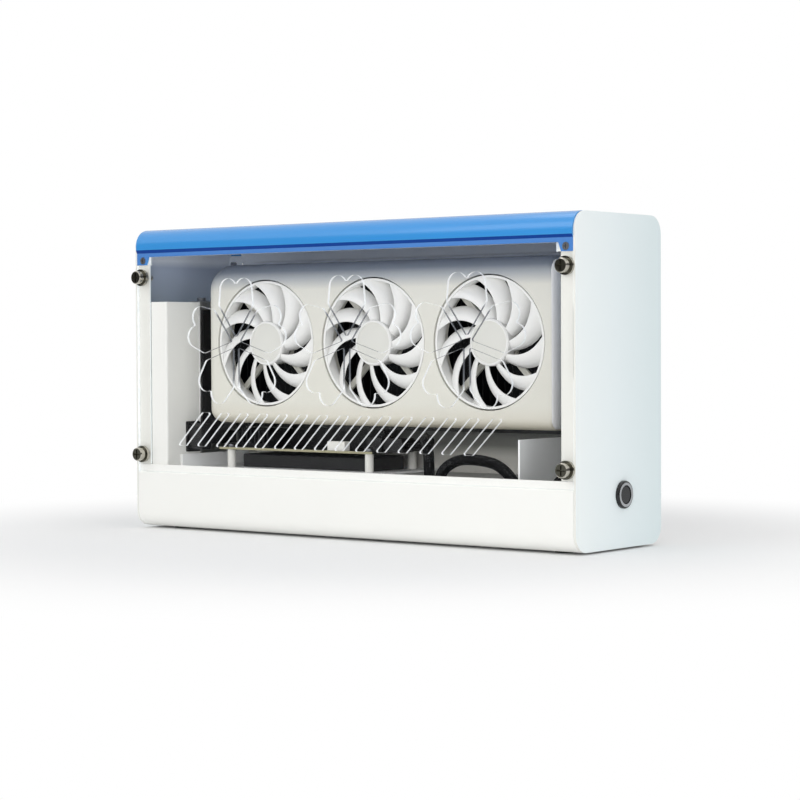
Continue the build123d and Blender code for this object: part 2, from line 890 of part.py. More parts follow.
def fan_rotor():
    """Hub cap, swept blades and outer ring, turning about Y at the origin."""
    front = shroud_front + fan_recess
    rear = front + fan_thickness
    hub = rod_y(0, front, rear, 0, hub_radius)
    hub = fillet(round_edges(hub, Axis.Y, last=False), hub_edge)
    hub -= rod_y(0, front - past, front + hub_dish, 0, hub_radius - hub_dish_rim)
    hub -= rod_y(0, front + hub_face, rear + past, 0, hub_radius - hub_wall)
    sleeve = rod_y(0, front + hub_face - hub_dish, shroud_front + blade_level, 0, sleeve_radius)
    sleeve -= rod_y(0, front + hub_face - hub_dish / 2, shroud_front + stator_front, 0, shaft_radius + shaft_clearance)
    outer = fan_opening - fan_gap
    ring = rod_y(0, front, rear, 0, outer) - rod_y(0, front - past, rear + past, 0, outer - fan_ring)
    blade = fan_blade(hub_radius - blade_root_sink, outer - fan_ring + blade_root_sink,
                      shroud_front + blade_level, blade_count, blade_thickness)
    return hub + sleeve + ring + [Rot(Y=360 / blade_count * i) * blade for i in range(blade_count)]


def card_pcb():
    left = wall_inset + pcb_wall_gap
    right = card_end - pcb_edge_gap
    board = block(left, right, board_plane, board_back, shroud_bottom - pcb_drop, shroud_top - pcb_headroom)
    finger = block(finger_start, finger_start + finger_length, board_plane, board_back,
                   shroud_bottom - finger_drop, shroud_bottom - pcb_drop + past)
    return board + finger


def card_heatsink():
    """Fin stack behind the fans, on a base plate over the chip."""
    front = shroud_front + fan_depth + sink_clearance
    x0 = card_start + sink_left
    x1 = card_end - sink_right
    z0 = shroud_bottom + sink_inset
    z1 = shroud_top - sink_inset
    base_front = board_plane - sink_base_gap - sink_base
    base = block(x0, x1, base_front, board_plane - sink_base_gap, z0, z1)
    fin = block(x0, x0 + fin_thickness, front, base_front, z0, z1)
    count = int((x1 - x0 - 2 * fin_margin) // fin_pitch)
    fins = [Pos(fin_margin + fin_pitch * i, 0, 0) * fin for i in range(count)]
    half = chip_size / 2 - pad_margin
    pad = block(middle_fan - chip_shift - half, middle_fan - chip_shift + half, board_plane - sink_base_gap,
                board_plane - chip_height, fan_height - half, fan_height + half)
    return base + fins + pad


def card_chip():
    half = chip_size / 2
    middle = middle_fan - chip_shift
    return block(middle - half, middle + half, board_plane - chip_height, board_plane,
                 fan_height - half, fan_height + half)


def card_backplate():
    level = board_back + backplate_gap
    rear = level + backplate_thickness
    x0 = wall_inset + backplate_wall_gap
    x1 = card_end - backplate_edge_gap
    z0 = shroud_bottom - backplate_drop
    z1 = shroud_top - backplate_headroom
    plate = fillet(block(x0, x1, level, rear, z0, z1).edges().filter_by(Axis.Y), backplate_corner)
    vents = slot_rows(x1 - backplate_vent_start, x1 - backplate_vent_end, z0 + backplate_vent_inset,
                      z1 - backplate_vent_end, backplate_vent_pitch, backplate_vent_pitch,
                      backplate_vent_length, backplate_vent_width)
    plate -= along_y(vents, level - past, rear + past)
    inset = 2 * backplate_post
    for x in (card_start + inset, middle_fan, x1 - inset):
        for z in (shroud_bottom + backplate_post_low, shroud_top - backplate_post_high):
            plate += rod_y(x, board_back, level, z, backplate_post)
    return plate


# Board tray, standoffs and dock board
def board_tray():
    """Folded shelf over the power supply, with a lip in front and a tab on the slot wall."""
    tray = block(wall_inset, tray_end, tray_front, wall_back - gap / 2, tray_floor, tray_top)
    tray += block(wall_inset, wall_inset + tray_lip_length, tray_front, tray_front + sheet,
                  tray_floor - tray_lip_height, tray_top)
    tray += block(wall_inset, wall_inset + sheet, tray_front + tray_tab_inset, back - tray_tab_inset,
                  tray_top, tray_top + tray_tab_height)
    return tray


def standoff_points():
    columns = (dock_start + standoff_left, dock_end - standoff_right)
    return [(x, y) for x in columns for y in (dock_front + standoff_front, dock_back - standoff_back)]


def standoffs():
    post = rod_z(0, 0, tray_top, board_level, standoff_radius)
    return Compound([Pos(x, y, 0) * post for x, y in standoff_points()])


def dock_board():
    return block(dock_start, dock_end, dock_front, dock_back, board_level, dock_top)


def board_screws():
    top = dock_top + board_screw_height
    head = rod_z(0, 0, dock_top, top, board_screw_head)
    head = fillet(round_edges(head, Axis.Z), board_screw_bend)
    head -= Pos(0, 0, top) * Rot(X=-90) * cross_recess(board_screw_head / 2, board_screw_height / 2)
    return Compound([Pos(x, y, 0) * head for x, y in standoff_points()])


def card_slot():
    """Long slot on the dock board that the card's edge stands in."""
    y = (board_plane + board_back) / 2
    x0 = finger_start - slot_body_margin
    x1 = finger_start + finger_length + slot_body_margin
    body = block(x0, x1, y - slot_body_half, y + slot_body_half, dock_top, slot_top)
    inset = slot_body_margin - past
    return body - block(x0 + inset, x1 - inset, y - slot_groove_half, y + slot_groove_half,
                        dock_top + slot_groove_floor, slot_top + past)


def chip_heatsink():
    x0 = dock_start + cooler_start
    y0 = dock_front + cooler_front
    y1 = y0 + cooler_depth
    base = block(x0, x0 + (cooler_fin_count - 1) * cooler_pitch + cooler_fin, y0, y1, dock_top,
                 dock_top + cooler_base)
    fin = block(x0, x0 + cooler_fin, y0, y1, dock_top, dock_top + cooler_height)
    return base + [Pos(cooler_pitch * i, 0, 0) * fin for i in range(cooler_fin_count)]


def board_header():
    x0 = dock_start + header_start
    x1 = x0 + header_length
    y0 = dock_front + header_front
    y1 = y0 + header_depth
    header = block(x0, x1, y0, y1, dock_top, dock_top + header_height)
    return header - block(x0 + header_wall, x1 - header_wall, y0 + header_wall, y1 - header_wall,
                          dock_top + header_wall, dock_top + header_height + past)


def board_socket_block(length, shrink):
    """Block of the dock board's power socket, shrunk on its four sides."""
    y0 = dock_front + board_socket_front
    return block(dock_end - length, dock_end, y0 + shrink, y0 + board_socket_width - shrink,
                 dock_top + shrink, dock_top + board_socket_height - shrink)


def board_power_socket():
    hollow = board_socket_block(board_socket_length - socket_wall, socket_wall)
    return board_socket_block(board_socket_length, 0) - hollow


def board_plug():
    """Plug in the dock board's power socket, with its body outside the board's edge."""
    tongue = board_socket_block(plug_tongue_length, socket_wall + plug_clearance)
    y0 = dock_front + board_socket_front + socket_wall + plug_clearance
    y1 = y0 + board_socket_width - 2 * socket_wall - 2 * plug_clearance
    start = dock_end + board_plug_overhang
    body = block(start, start + board_plug_body, y0, y1, dock_top - board_plug_foot,
                 dock_top + board_socket_height)
    neck = block(dock_end - past, start, y0, y1, dock_top + socket_wall + plug_clearance,
                 dock_top + board_socket_height - socket_wall - plug_clearance)
    return tongue + neck + body


# Divider plate and power supply
def supply_screw_points():
    y = supply_y0 + supply_screw_side
    return [(y, supply_screw_low), (y, supply_z1 - supply_screw_high)]


def divider_plate():
    """Plate that carries the power supply, open in front for the cables and behind its rear."""
    start = divider_x - sheet
    plate = block(start, divider_x, divider_front, back, 0, divider_top)
    plate += block(divider_x, divider_x + divider_foot, divider_foot_start, supply_y1, sheet, 2 * sheet)
    plate -= block(start - past, divider_x + past, 0, supply_y0 - past, 0, supply_z1 - gap)
    plate -= block(start - past, divider_x + past, supply_fan_y - supply_fan_bore, supply_y1 - divider_margin,
                   divider_margin, supply_z1 - supply_fan_wall)
    for y, z in supply_screw_points():
        plate -= rod_x(start - past, divider_x + past, y, z, supply_screw_radius + screw_clearance)
    return within_shell(plate)


def supply_case():
    """Steel case of the power supply, hollow, with a fan opening and an inlet opening in its rear."""
    wall = supply_wall
    case = block(supply_x0, supply_x1, supply_y0, supply_y1, sheet, supply_z1)
    case -= block(supply_x0 + wall, supply_x1 - wall, supply_y0 + wall, supply_y1 - wall,
                  sheet + wall, supply_z1 - wall)
    rear = supply_x1 - wall - past
    case -= rod_x(rear, supply_x1 + past, supply_fan_y, supply_middle, supply_fan_bore)
    margin = gap
    case -= block(rear, supply_x1 + past, supply_inlet_y - margin, supply_inlet_y + supply_inlet_width + margin,
                  supply_inlet_bottom - margin, supply_inlet_bottom + supply_inlet_height + margin)
    case -= rod_x(supply_x0 - past, supply_x0 + wall + past, supply_y0 + supply_exit_place, supply_middle,
                  supply_exit_radius)
    vents = slot_rows(supply_x0 + supply_vent_start, supply_x0 + supply_vent_end, supply_vent_low,
                      supply_vent_high, supply_vent_pitch_x, supply_vent_pitch_z, supply_vent_length,
                      supply_vent_width)
    for y, z in supply_screw_points():
        case -= rod_x(rear, supply_x1 + past, y, z, supply_screw_radius + screw_clearance)
    return case - along_y(vents, supply_y0 - past, supply_y0 + wall + past)


def supply_fan_frame():
    """Square fan frame just inside the supply's rear, with a crossed bridge and a fixed shaft."""
    x1 = supply_x1 - supply_wall
    x0 = x1 - supply_fan_depth
    place = Pos(supply_fan_y, supply_middle)
    square = RectangleRounded(supply_fan_size, supply_fan_size, supply_fan_corner) - Circle(supply_fan_bore)
    bar = Rectangle(supply_fan_size - supply_fan_wall, supply_fan_arm)
    bridge = bar + Rot(Z=90) * bar + Circle(supply_hub_radius)
    frame = along_x(place * square, x0, x1)
    frame += along_x(place * bridge, x0, x0 + supply_fan_arm_thickness)
    return frame + rod_x(x0, x1 - supply_hub_bore, supply_fan_y, supply_middle, shaft_radius)


def supply_fan_rotor():
    """Hub and blades of the supply's fan, turned so that they face the supply's rear."""
    rear = supply_wall + supply_hub_recess
    hub = rod_y(0, rear, rear + supply_hub_depth, 0, supply_hub_radius)
    hub = fillet(round_edges(hub, Axis.Y, last=False), hub_edge)
    hub -= rod_y(0, supply_wall + supply_hub_bore - past, rear + supply_hub_depth + past, 0, shaft_radius + shaft_clearance)
    blade = fan_blade(supply_hub_radius - blade_root_sink, supply_fan_bore - supply_fan_gap,
                      rear + supply_hub_depth / 2, supply_blade_count, supply_blade_thickness)
    rotor = hub + [Rot(Y=360 / supply_blade_count * i) * blade for i in range(supply_blade_count)]
    return Pos(supply_x1, supply_fan_y, supply_middle) * Rot(Z=90) * rotor


def supply_inlet():
    y1 = supply_inlet_y + supply_inlet_width
    z1 = supply_inlet_bottom + supply_inlet_height
    wall = supply_inlet_wall
    outer = block(supply_x1 - supply_inlet_depth, supply_x1 + sheet, supply_inlet_y, y1, supply_inlet_bottom, z1)
    return outer - block(supply_x1 - supply_inlet_mouth, supply_x1 + sheet + past, supply_inlet_y + wall, y1 - wall,
                         supply_inlet_bottom + wall, z1 - wall)


def supply_screws():
    screws = []
    for y, z in supply_screw_points():
        head = rod_x(divider_x, divider_x + supply_screw_head_height, y, z, supply_screw_head)
        screws.append(head + rod_x(divider_x - supply_screw_length, divider_x, y, z, supply_screw_radius))
    return Compound(screws)


# Mains inlet in the back wall, with the lead that joins it to the power supply
def mains_inlet():
    place = Pos(inlet_x, inlet_z)
    inlet = along_y(place * RectangleRounded(inlet_flange_width, inlet_flange_height, inlet_corner), back,
                    back + inlet_flange)
    inlet += along_y(place * RectangleRounded(inlet_width, inlet_height, inlet_corner), back - inlet_depth, back)
    mouth = Rectangle(inlet_mouth_width, inlet_mouth_height)
    mouth = place * chamfer(mouth.vertices().group_by(Axis.Y)[0], inlet_mouth_chamfer)
    inlet -= along_y(mouth, back - inlet_mouth_depth, back + inlet_flange + past)
    for side in (-1, 0, 1):
        x = inlet_x + side * inlet_pin_pitch
        z = inlet_z + inlet_pin_shift * (1 - 2 * abs(side))
        inlet += block(x - inlet_pin_half, x + inlet_pin_half, back - inlet_mouth_depth - past, back - past,
                       z - inlet_pin_height, z + inlet_pin_height)
    return inlet


def mains_plug():
    """Plug in the supply's inlet, at the lower end of the mains lead."""
    y1 = supply_inlet_y + supply_inlet_width
    z1 = supply_inlet_bottom + supply_inlet_height
    inset = supply_inlet_wall + plug_clearance
    end = supply_x1 + sheet + mains_plug_length
    tongue = block(supply_x1 - supply_inlet_mouth + plug_clearance, end, supply_inlet_y + inset, y1 - inset,
                   supply_inlet_bottom + inset, z1 - inset)
    body = block(supply_x1 + sheet, end, supply_inlet_y + port_shell, y1 - port_shell,
                 supply_inlet_bottom + past, z1 - past)
    return fillet((tongue + body).edges().group_by(Axis.X)[-1], mains_plug_corner)


def route(points, bends, radius):
    """Round cable along straight runs joined by tangent arcs."""
    path = FilletPolyline(*points, radius=bends)
    start = Plane(origin=path @ 0, z_dir=path % 0)
    return sweep(start * Circle(radius), path=path)


def mains_lead():
    """Lead from the supply's plug up to the inlet in the back wall."""
    x = supply_x1 + sheet + 0.65 * mains_plug_length
    y = supply_inlet_y + supply_inlet_width / 2
    z = supply_inlet_bottom + supply_inlet_height - past
    end = inlet_x + 3
    points = [
        (x, y, z),
        (x, y, 48),
        (end, back - 38, 70),
        (end, back - 42, inlet_z),
        (end, back - inlet_depth, inlet_z),
    ]
    return route(points, [12, 14, 7], lead_radius)


# Push button in the right end panel
def button_rod(x0, x1, radius):
    """Rod on the button's axis, with its ends measured from the end panel's face."""
    return rod_x(case_length + x0, case_length + x1, button_y, button_z, radius)


cap_front = button_proud - button_sink
cap_back = cap_front - button_cap_length


def button_body():
    """Bezel and barrel, with a pocket deep enough for the cap's travel."""
    bezel = button_rod(0, button_proud, button_radius)
    bezel = fillet(round_edges(bezel, Axis.X), button_bevel)
    barrel = button_rod(-button_barrel_length, 0, button_radius - button_barrel_wall)
    pocket = cap_back - button_travel - button_rest_gap
    return bezel + barrel - button_rod(pocket, button_proud + past, button_cap_radius + button_cap_gap)


def button_cap():
    cap = button_rod(cap_back, cap_front, button_cap_radius)
    return fillet(round_edges(cap, Axis.X), button_cap_edge)


def button_nut():
    bore = Circle(button_radius - button_barrel_wall + button_cap_gap)
    ring = Pos(button_y, button_z) * (RegularPolygon(button_radius + button_nut_margin, 6) - bore)
    inside = case_length - end_plate
    return along_x(ring, inside - button_nut_thickness, inside)


# Cables that the case holds all the way
def board_cable():
    """Cable from the supply's case, looped in front of the tray's end, to the dock board's plug."""
    x = supply_x0
    y = supply_y0 + supply_exit_place
    z = supply_middle
    plug_y = dock_front + board_socket_front + board_socket_width / 2
    points = [
        (x, y, z),
        (x - 22, y, z),
        (x - 22, 9, z),
        (x + 49, 9, z),
        (x + 78, 10, 26),
        (x + 77, 12, 62),
        (x + 62, 24, 70),
        (x + 49, plug_y, 62),
        (dock_end + board_plug_overhang + board_plug_body, plug_y, 62),
    ]
    return route(points, [9, 8, 30, 14, 14, 14, 10], cable_radius)


def card_cable():
    """Cable that comes up in front of the tray, passes under the divider plate and rises to the card."""
    x = divider_x
    end = card_end + plug_length / 2 + plug_rise / 2 - gap
    y = socket_front + divider_margin
    points = [
        (x - 65.2, 11.5, 40),
        (x - 57.2, 12, 55),
        (x - 26.2, 12, 55),
        (x - 0.2, 12, 34),
        (x + 18.8, 13, 34),
        (end, 18, 52),
        (end, 44, 76),
        (end, y, 98),
        (end, y, socket_low + plug_rise),
    ]
    return route(points, [7, 20, 25, 12, 14, 30, 25], cable_radius)


def socket_block(x0, x1, shrink):
    """Block in the card's power socket, shrunk on its four sides."""
    return block(x0, x1, socket_front + shrink, board_plane - shrink, socket_low + shrink, socket_high - shrink)


socket_x0 = card_end - socket_inset - socket_length
socket_floor = socket_x0 + 2 * socket_wall


def card_power_socket():
    return socket_block(socket_x0, card_end - socket_inset, 0) - socket_block(socket_floor, card_end, socket_wall)


def card_plug():
    inset = socket_wall + plug_clearance
    tongue = socket_block(socket_floor + plug_clearance, card_end + past, inset)
    body = block(card_end + past, card_end + past + plug_length, socket_front, board_plane - inset,
                 socket_low + plug_rise, socket_high - inset)
    return tongue + fillet(body.edges().filter_by(Axis.Y), plug_corner)


makers = {
    "chassis_shell": chassis_shell,
    "end_panel_left": end_panel_left,
    "end_panel_right": end_panel_right,
    "top_cover": top_cover,
    "cover_screws": cover_screws,
    "window_panel": window_panel,
    "window_thumbscrews": window_thumbscrews,
    "window_nuts": window_nuts,
    "rubber_feet": rubber_feet,
    "slot_wall": slot_wall,
    "link_socket": link_socket,
    "card_bracket": card_bracket,
    "card_ports": card_ports,
    "bracket_screws": bracket_screws,
    "card_shroud": card_shroud,
    "card_pcb": card_pcb,
    "card_heatsink": card_heatsink,
    "card_chip": card_chip,
    "card_backplate": card_backplate,
    "board_tray": board_tray,
    "standoffs": standoffs,
    "dock_board": dock_board,
    "board_screws": board_screws,
    "card_slot": card_slot,
    "chip_heatsink": chip_heatsink,
    "board_header": board_header,
    "board_power_socket": board_power_socket,
    "board_plug": board_plug,
    "board_cable": board_cable,
    "divider_plate": divider_plate,
    "supply_case": supply_case,
    "supply_fan_frame": supply_fan_frame,
    "supply_fan_rotor": supply_fan_rotor,
    "supply_inlet": supply_inlet,
    "supply_screws": supply_screws,
    "mains_inlet": mains_inlet,
    "mains_plug": mains_plug,
    "mains_lead": mains_lead,
    "button_body": button_body,
    "button_cap": button_cap,
    "button_nut": button_nut,
    "card_power_socket": card_power_socket,
    "card_plug": card_plug,
    "card_cable": card_cable,
}

centre_x = (case_length + button_proud) / 2
centre_y = (back + inlet_flange - thumb_proud) / 2
to_row = Pos(-centre_x, -centre_y, foot_height)

os.makedirs("parts", exist_ok=True)
for name, maker in makers.items():
    export_step(to_row * maker(), f"parts/{name}.step")
for i, x in enumerate(fan_centres()):
    place = to_row * Pos(x, 0, fan_height)
    export_step(place * fan_rotor(), f"parts/fan_rotor_{i + 1}.step")
    export_step(place * fan_motor(), f"parts/fan_motor_{i + 1}.step")
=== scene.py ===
# %% [markdown]
# # External graphics card enclosure
# The object is a long white case with a blue folded lid and a clear front window.
# Behind the window stand a three-fan graphics card, its dock board and two braided cables.
# The solid model already has every piece at its real size, so this scene loads it as a fixed
# frame and gives it finishes, small parts, light and a camera. Lengths are in metres.

# %% Load the frame
import math

import bmesh
import bpy
from mathutils import Matrix, Quaternion, Vector


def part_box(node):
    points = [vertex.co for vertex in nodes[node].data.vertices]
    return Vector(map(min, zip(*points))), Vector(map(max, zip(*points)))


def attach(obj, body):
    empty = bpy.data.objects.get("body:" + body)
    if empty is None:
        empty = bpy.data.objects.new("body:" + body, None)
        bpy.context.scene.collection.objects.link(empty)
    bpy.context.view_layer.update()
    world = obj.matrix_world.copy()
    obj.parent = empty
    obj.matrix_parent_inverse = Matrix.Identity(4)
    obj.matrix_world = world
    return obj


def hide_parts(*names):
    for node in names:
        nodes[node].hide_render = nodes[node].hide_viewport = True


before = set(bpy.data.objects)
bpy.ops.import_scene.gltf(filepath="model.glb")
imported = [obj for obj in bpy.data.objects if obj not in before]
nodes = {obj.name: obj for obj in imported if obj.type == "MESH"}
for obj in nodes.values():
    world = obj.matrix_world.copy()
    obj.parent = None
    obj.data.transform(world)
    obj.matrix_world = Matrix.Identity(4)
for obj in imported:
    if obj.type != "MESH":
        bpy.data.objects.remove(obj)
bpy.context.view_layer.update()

# %% [markdown]
# ## Colours
# A colour picked from a photograph is in display values from 0 to 255, while a shader wants
# linear light. One small function turns the first into the second, so that every finish below
# can be written in the numbers that an image editor shows.

# %% Colour helper
def srgb(red, green, blue):
    """Linear colour from display values, 0 to 255."""
    def linear(value):
        value /= 255
        return value / 12.92 if value <= 0.04045 else ((value + 0.055) / 1.055) ** 2.4
    return (linear(red), linear(green), linear(blue), 1.0)


print("white coat", [round(c, 3) for c in srgb(244, 246, 243)])

# %% [markdown]
# ## A shared grain for paint and plastic
# Powder coat and moulded plastic are never one flat colour. Up close they have a fine peel
# in the surface, and the tone and the gloss drift a little from place to place. Both effects
# come from noise in Object coordinates, so they stay still when a part moves. One node group
# holds them, and each finish sets its own scale and strength.

# %% Grain group
def new_group(name, inputs, outputs):
    """Shader group with its sockets, its input node and its output node."""
    group = bpy.data.node_groups.new(name, "ShaderNodeTree")
    for label, kind, value in inputs:
        socket = group.interface.new_socket(label, in_out="INPUT", socket_type="NodeSocket" + kind)
        if value is not None:
            socket.default_value = value
    for label, kind in outputs:
        group.interface.new_socket(label, in_out="OUTPUT", socket_type="NodeSocket" + kind)
    return group, group.nodes.new("NodeGroupInput"), group.nodes.new("NodeGroupOutput")


def add_noise(tree, vector, scale, detail=3.0):
    """Noise between 0 and 1. The scale is a number or a socket."""
    noise = tree.nodes.new("ShaderNodeTexNoise")
    noise.inputs["Detail"].default_value = detail
    tree.links.new(vector, noise.inputs["Vector"])
    if isinstance(scale, (int, float)):
        noise.inputs["Scale"].default_value = scale
    else:
        tree.links.new(scale, noise.inputs["Scale"])
    return noise.outputs["Fac"]


def add_math(tree, operation, *values):
    """Result of one Math node. Each value is a number or a socket."""
    node = tree.nodes.new("ShaderNodeMath")
    node.operation = operation
    for i, value in enumerate(values):
        if isinstance(value, (int, float)):
            node.inputs[i].default_value = value
        else:
            tree.links.new(value, node.inputs[i])
    return node.outputs[0]


def add_mix(tree, factor, first, second):
    """Blend of two colours. Each input is a value or a socket."""
    mix = tree.nodes.new("ShaderNodeMix")
    mix.data_type = "RGBA"
    for name, value in (("Factor", factor), ("A", first), ("B", second)):
        socket = mix.inputs[name]
        if isinstance(value, (int, float, tuple)):
            socket.default_value = value
        else:
            tree.links.new(value, socket)
    return mix.outputs["Result"]


def shaded(tree, colour, factor):
    """Colour multiplied by a changing grey factor."""
    combine = tree.nodes.new("ShaderNodeCombineColor")
    for channel in ("Red", "Green", "Blue"):
        tree.links.new(factor, combine.inputs[channel])
    mix = tree.nodes.new("ShaderNodeMix")
    mix.data_type = "RGBA"
    mix.blend_type = "MULTIPLY"
    mix.inputs["Factor"].default_value = 1.0
    tree.links.new(colour, mix.inputs["A"])
    tree.links.new(combine.outputs["Color"], mix.inputs["B"])
    return mix.outputs["Result"]


def make_grain_group():
    """Colour, roughness and height of a surface with fine peel and slow drift."""
    inputs = [
        ("Vector", "Vector", None),
        ("Colour", "Color", (0.8, 0.8, 0.8, 1.0)),
        ("Tone", "Float", 0.04),
        ("Roughness", "Float", 0.4),
        ("Spread", "Float", 0.06),
        ("Grain", "Float", 900.0),
    ]
    outputs = [("Colour", "Color"), ("Roughness", "Float"), ("Height", "Float")]
    group, source, target = new_group("Surface grain", inputs, outputs)
    vector = source.outputs["Vector"]
    broad = add_math(group, "SUBTRACT", add_noise(group, vector, 22.0, 2.0), 0.5)
    tone = add_math(group, "MULTIPLY_ADD", broad, source.outputs["Tone"], 1.0)
    colour = shaded(group, source.outputs["Colour"], tone)
    patch = add_math(group, "SUBTRACT", add_noise(group, vector, 60.0, 4.0), 0.5)
    rough = add_math(group, "MULTIPLY_ADD", patch, source.outputs["Spread"], source.outputs["Roughness"])
    fine = add_noise(group, vector, source.outputs["Grain"], 2.0)
    group.links.new(colour, target.inputs["Colour"])
    group.links.new(rough, target.inputs["Roughness"])
    group.links.new(fine, target.inputs["Height"])
    return group


grain_group = make_grain_group()
print("group", grain_group.name, [s.name for s in grain_group.interface.items_tree])

# %% [markdown]
# ## Finishes
# A finish is a Principled shader fed by a group. The Bump node turns the fine noise into tiny
# slopes. Its distance is a real height: a powder coat peels by a few hundredths of a
# millimetre, a moulded plastic by less. What is the same all over a surface, such as metallic
# or coat, is set straight on the shader.

# %% Finish helper
PAINT_GRAIN, PAINT_PEEL = 1500.0, 0.00003


def start_material(name):
    """New material with its tree, its Principled shader and Object coordinates."""
    material = bpy.data.materials.new(name)
    material.use_nodes = True
    tree = material.node_tree
    shader = tree.nodes["Principled BSDF"]
    place = tree.nodes.new("ShaderNodeTexCoord").outputs["Object"]
    return material, tree, shader, place


def add_bump(tree, shader, height, distance, strength=1.0):
    """Let a height from 0 to 1 tilt the surface, as a relief of the given distance."""
    bump = tree.nodes.new("ShaderNodeBump")
    bump.inputs["Distance"].default_value = distance
    bump.inputs["Strength"].default_value = strength
    tree.links.new(height, bump.inputs["Height"])
    tree.links.new(bump.outputs["Normal"], shader.inputs["Normal"])


def grained(name, colour, roughness, grain=900.0, depth=0.00002, tone=0.04, spread=0.08, metallic=0.0,
            coat=0.0, specular=0.5):
    """Painted, moulded or anodised surface with the shared grain."""
    material, tree, shader, place = start_material(name)
    group = tree.nodes.new("ShaderNodeGroup")
    group.node_tree = grain_group
    group.inputs["Colour"].default_value = colour
    group.inputs["Tone"].default_value = tone
    group.inputs["Roughness"].default_value = roughness
    group.inputs["Spread"].default_value = spread
    group.inputs["Grain"].default_value = grain
    tree.links.new(place, group.inputs["Vector"])
    tree.links.new(group.outputs["Colour"], shader.inputs["Base Color"])
    tree.links.new(group.outputs["Roughness"], shader.inputs["Roughness"])
    add_bump(tree, shader, group.outputs["Height"], depth, 0.6)
    shader.inputs["Metallic"].default_value = metallic
    shader.inputs["Coat Weight"].default_value = coat
    shader.inputs["Coat Roughness"].default_value = 0.12
    shader.inputs["Specular IOR Level"].default_value = specular
    return material


def by_place(material, axis, stops):
    """Let a grained finish change its colour along an axis, given as pairs of metres and colour."""
    tree = material.node_tree
    group = next(node for node in tree.nodes if node.type == "GROUP")
    place = next(node for node in tree.nodes if node.type == "TEX_COORD")
    split = tree.nodes.new("ShaderNodeSeparateXYZ")
    tree.links.new(place.outputs["Object"], split.inputs["Vector"])
    low, high = stops[0][0], stops[-1][0]
    span = tree.nodes.new("ShaderNodeMapRange")
    span.inputs["From Min"].default_value = low
    span.inputs["From Max"].default_value = high
    tree.links.new(split.outputs[axis], span.inputs["Value"])
    ramp = tree.nodes.new("ShaderNodeValToRGB")
    while len(ramp.color_ramp.elements) < len(stops):
        ramp.color_ramp.elements.new(0.5)
    for element, (place_on_axis, colour) in zip(ramp.color_ramp.elements, stops):
        element.position = (place_on_axis - low) / (high - low)
        element.color = colour
    tree.links.new(span.outputs["Result"], ramp.inputs["Fac"])
    tree.links.new(ramp.outputs["Color"], group.inputs["Colour"])


def dress(material, *names):
    """Give CAD nodes one material in place of the plain one they came with."""
    for name in names:
        mesh = nodes[name].data
        mesh.materials.clear()
        mesh.materials.append(material)


white_coat = grained("white powder coat", srgb(243, 243, 239), 0.42, PAINT_GRAIN, PAINT_PEEL, 0.02)
end_coat_painted_shade = grained("cool white coat with painted shade", srgb(236, 246, 248), 0.45, PAINT_GRAIN, PAINT_PEEL, 0.02)
# Painted light and shade: the end panels' paint is lighter towards the front and darker towards the back.
by_place(end_coat_painted_shade, "Y", [
    (-0.05, srgb(249, 255, 255)),
    (0.0, srgb(240, 249, 251)),
    (0.053, srgb(228, 241, 243)),
])
# Painted shade: the end panels' front faces get a darker, warmer white than their sides.
rim_painted_shade = grained("rim coat with painted shade", srgb(232, 232, 226), 0.42, PAINT_GRAIN, PAINT_PEEL, 0.02)
blue_coat = grained("blue powder coat", srgb(44, 142, 214), 0.3, 1500.0, 0.00001, 0.03, coat=0.5)
groove_coat = grained("shaded blue coat", srgb(14, 62, 142), 0.5, 1500.0, 0.00002, 0.03, specular=0.1)
# Painted shade: the lid's recessed lip gets a darker, greyer blue than the rest of the same sheet.
lip_painted_shade = grained("blue coat with painted lip shade", srgb(70, 128, 200), 0.35, 1500.0, 0.00002, 0.03)
inner_painted_light_and_shade = grained("inner coat with painted light and shade", srgb(142, 148, 166), 0.6, PAINT_GRAIN, PAINT_PEEL, 0.04, specular=0.2)
# Painted light and shade by height: light near the tray, dark grey under the card, slate higher up, pale blue
# white under the lid.
by_place(inner_painted_light_and_shade, "Z", [
    (0.044, srgb(240, 238, 232)),
    (0.054, srgb(218, 217, 210)),
    (0.062, srgb(142, 143, 138)),
    (0.12, srgb(136, 142, 152)),
    (0.165, srgb(162, 174, 190)),
    (0.189, srgb(178, 190, 210)),
    (0.194, srgb(240, 246, 255)),
])
inner_coat = grained("light grey coat", srgb(240, 240, 236), 0.5, PAINT_GRAIN, PAINT_PEEL, 0.03)
plate_coat = grained("mid grey coat", srgb(250, 252, 252), 0.45, PAINT_GRAIN, PAINT_PEEL, 0.03)
# Painted light: the tray under the board gets a brighter white than the case's coat, though it stands in shade.
tray_painted_light = grained("tray coat with painted light", srgb(252, 253, 253), 0.42, PAINT_GRAIN, PAINT_PEEL, 0.02)
dress(white_coat, "chassis_shell")
dress(tray_painted_light, "board_tray")
dress(end_coat_painted_shade, "end_panel_left", "end_panel_right")
dress(blue_coat, "top_cover")
dress(inner_coat, "slot_wall")
dress(plate_coat, "divider_plate")

# %% [markdown]
# ## Painted light and shade inside the case
# The case is white outside and looks dark inside, where little light reaches, so the faces inside get painted
# light and shade. A folded sheet is one mesh, so its faces are sorted by where they look: one that
# looks towards the middle of the case belongs to the inside. The front faces are sorted by height as
# well, because the groove under the lid's band is in shade and gets a painted dark blue, and the lip
# below it gets a painted darker, greyer blue. The end panels' front faces get painted shade as well.

# %% Painted light and shade inside the case
BEHIND_RIMS = -0.044
FRONT_FACES = -0.04
LIP_BOTTOM, GROOVE_BOTTOM, GROOVE_TOP = 0.18, 0.1986, 0.2008
CASE_TOP = 0.2155


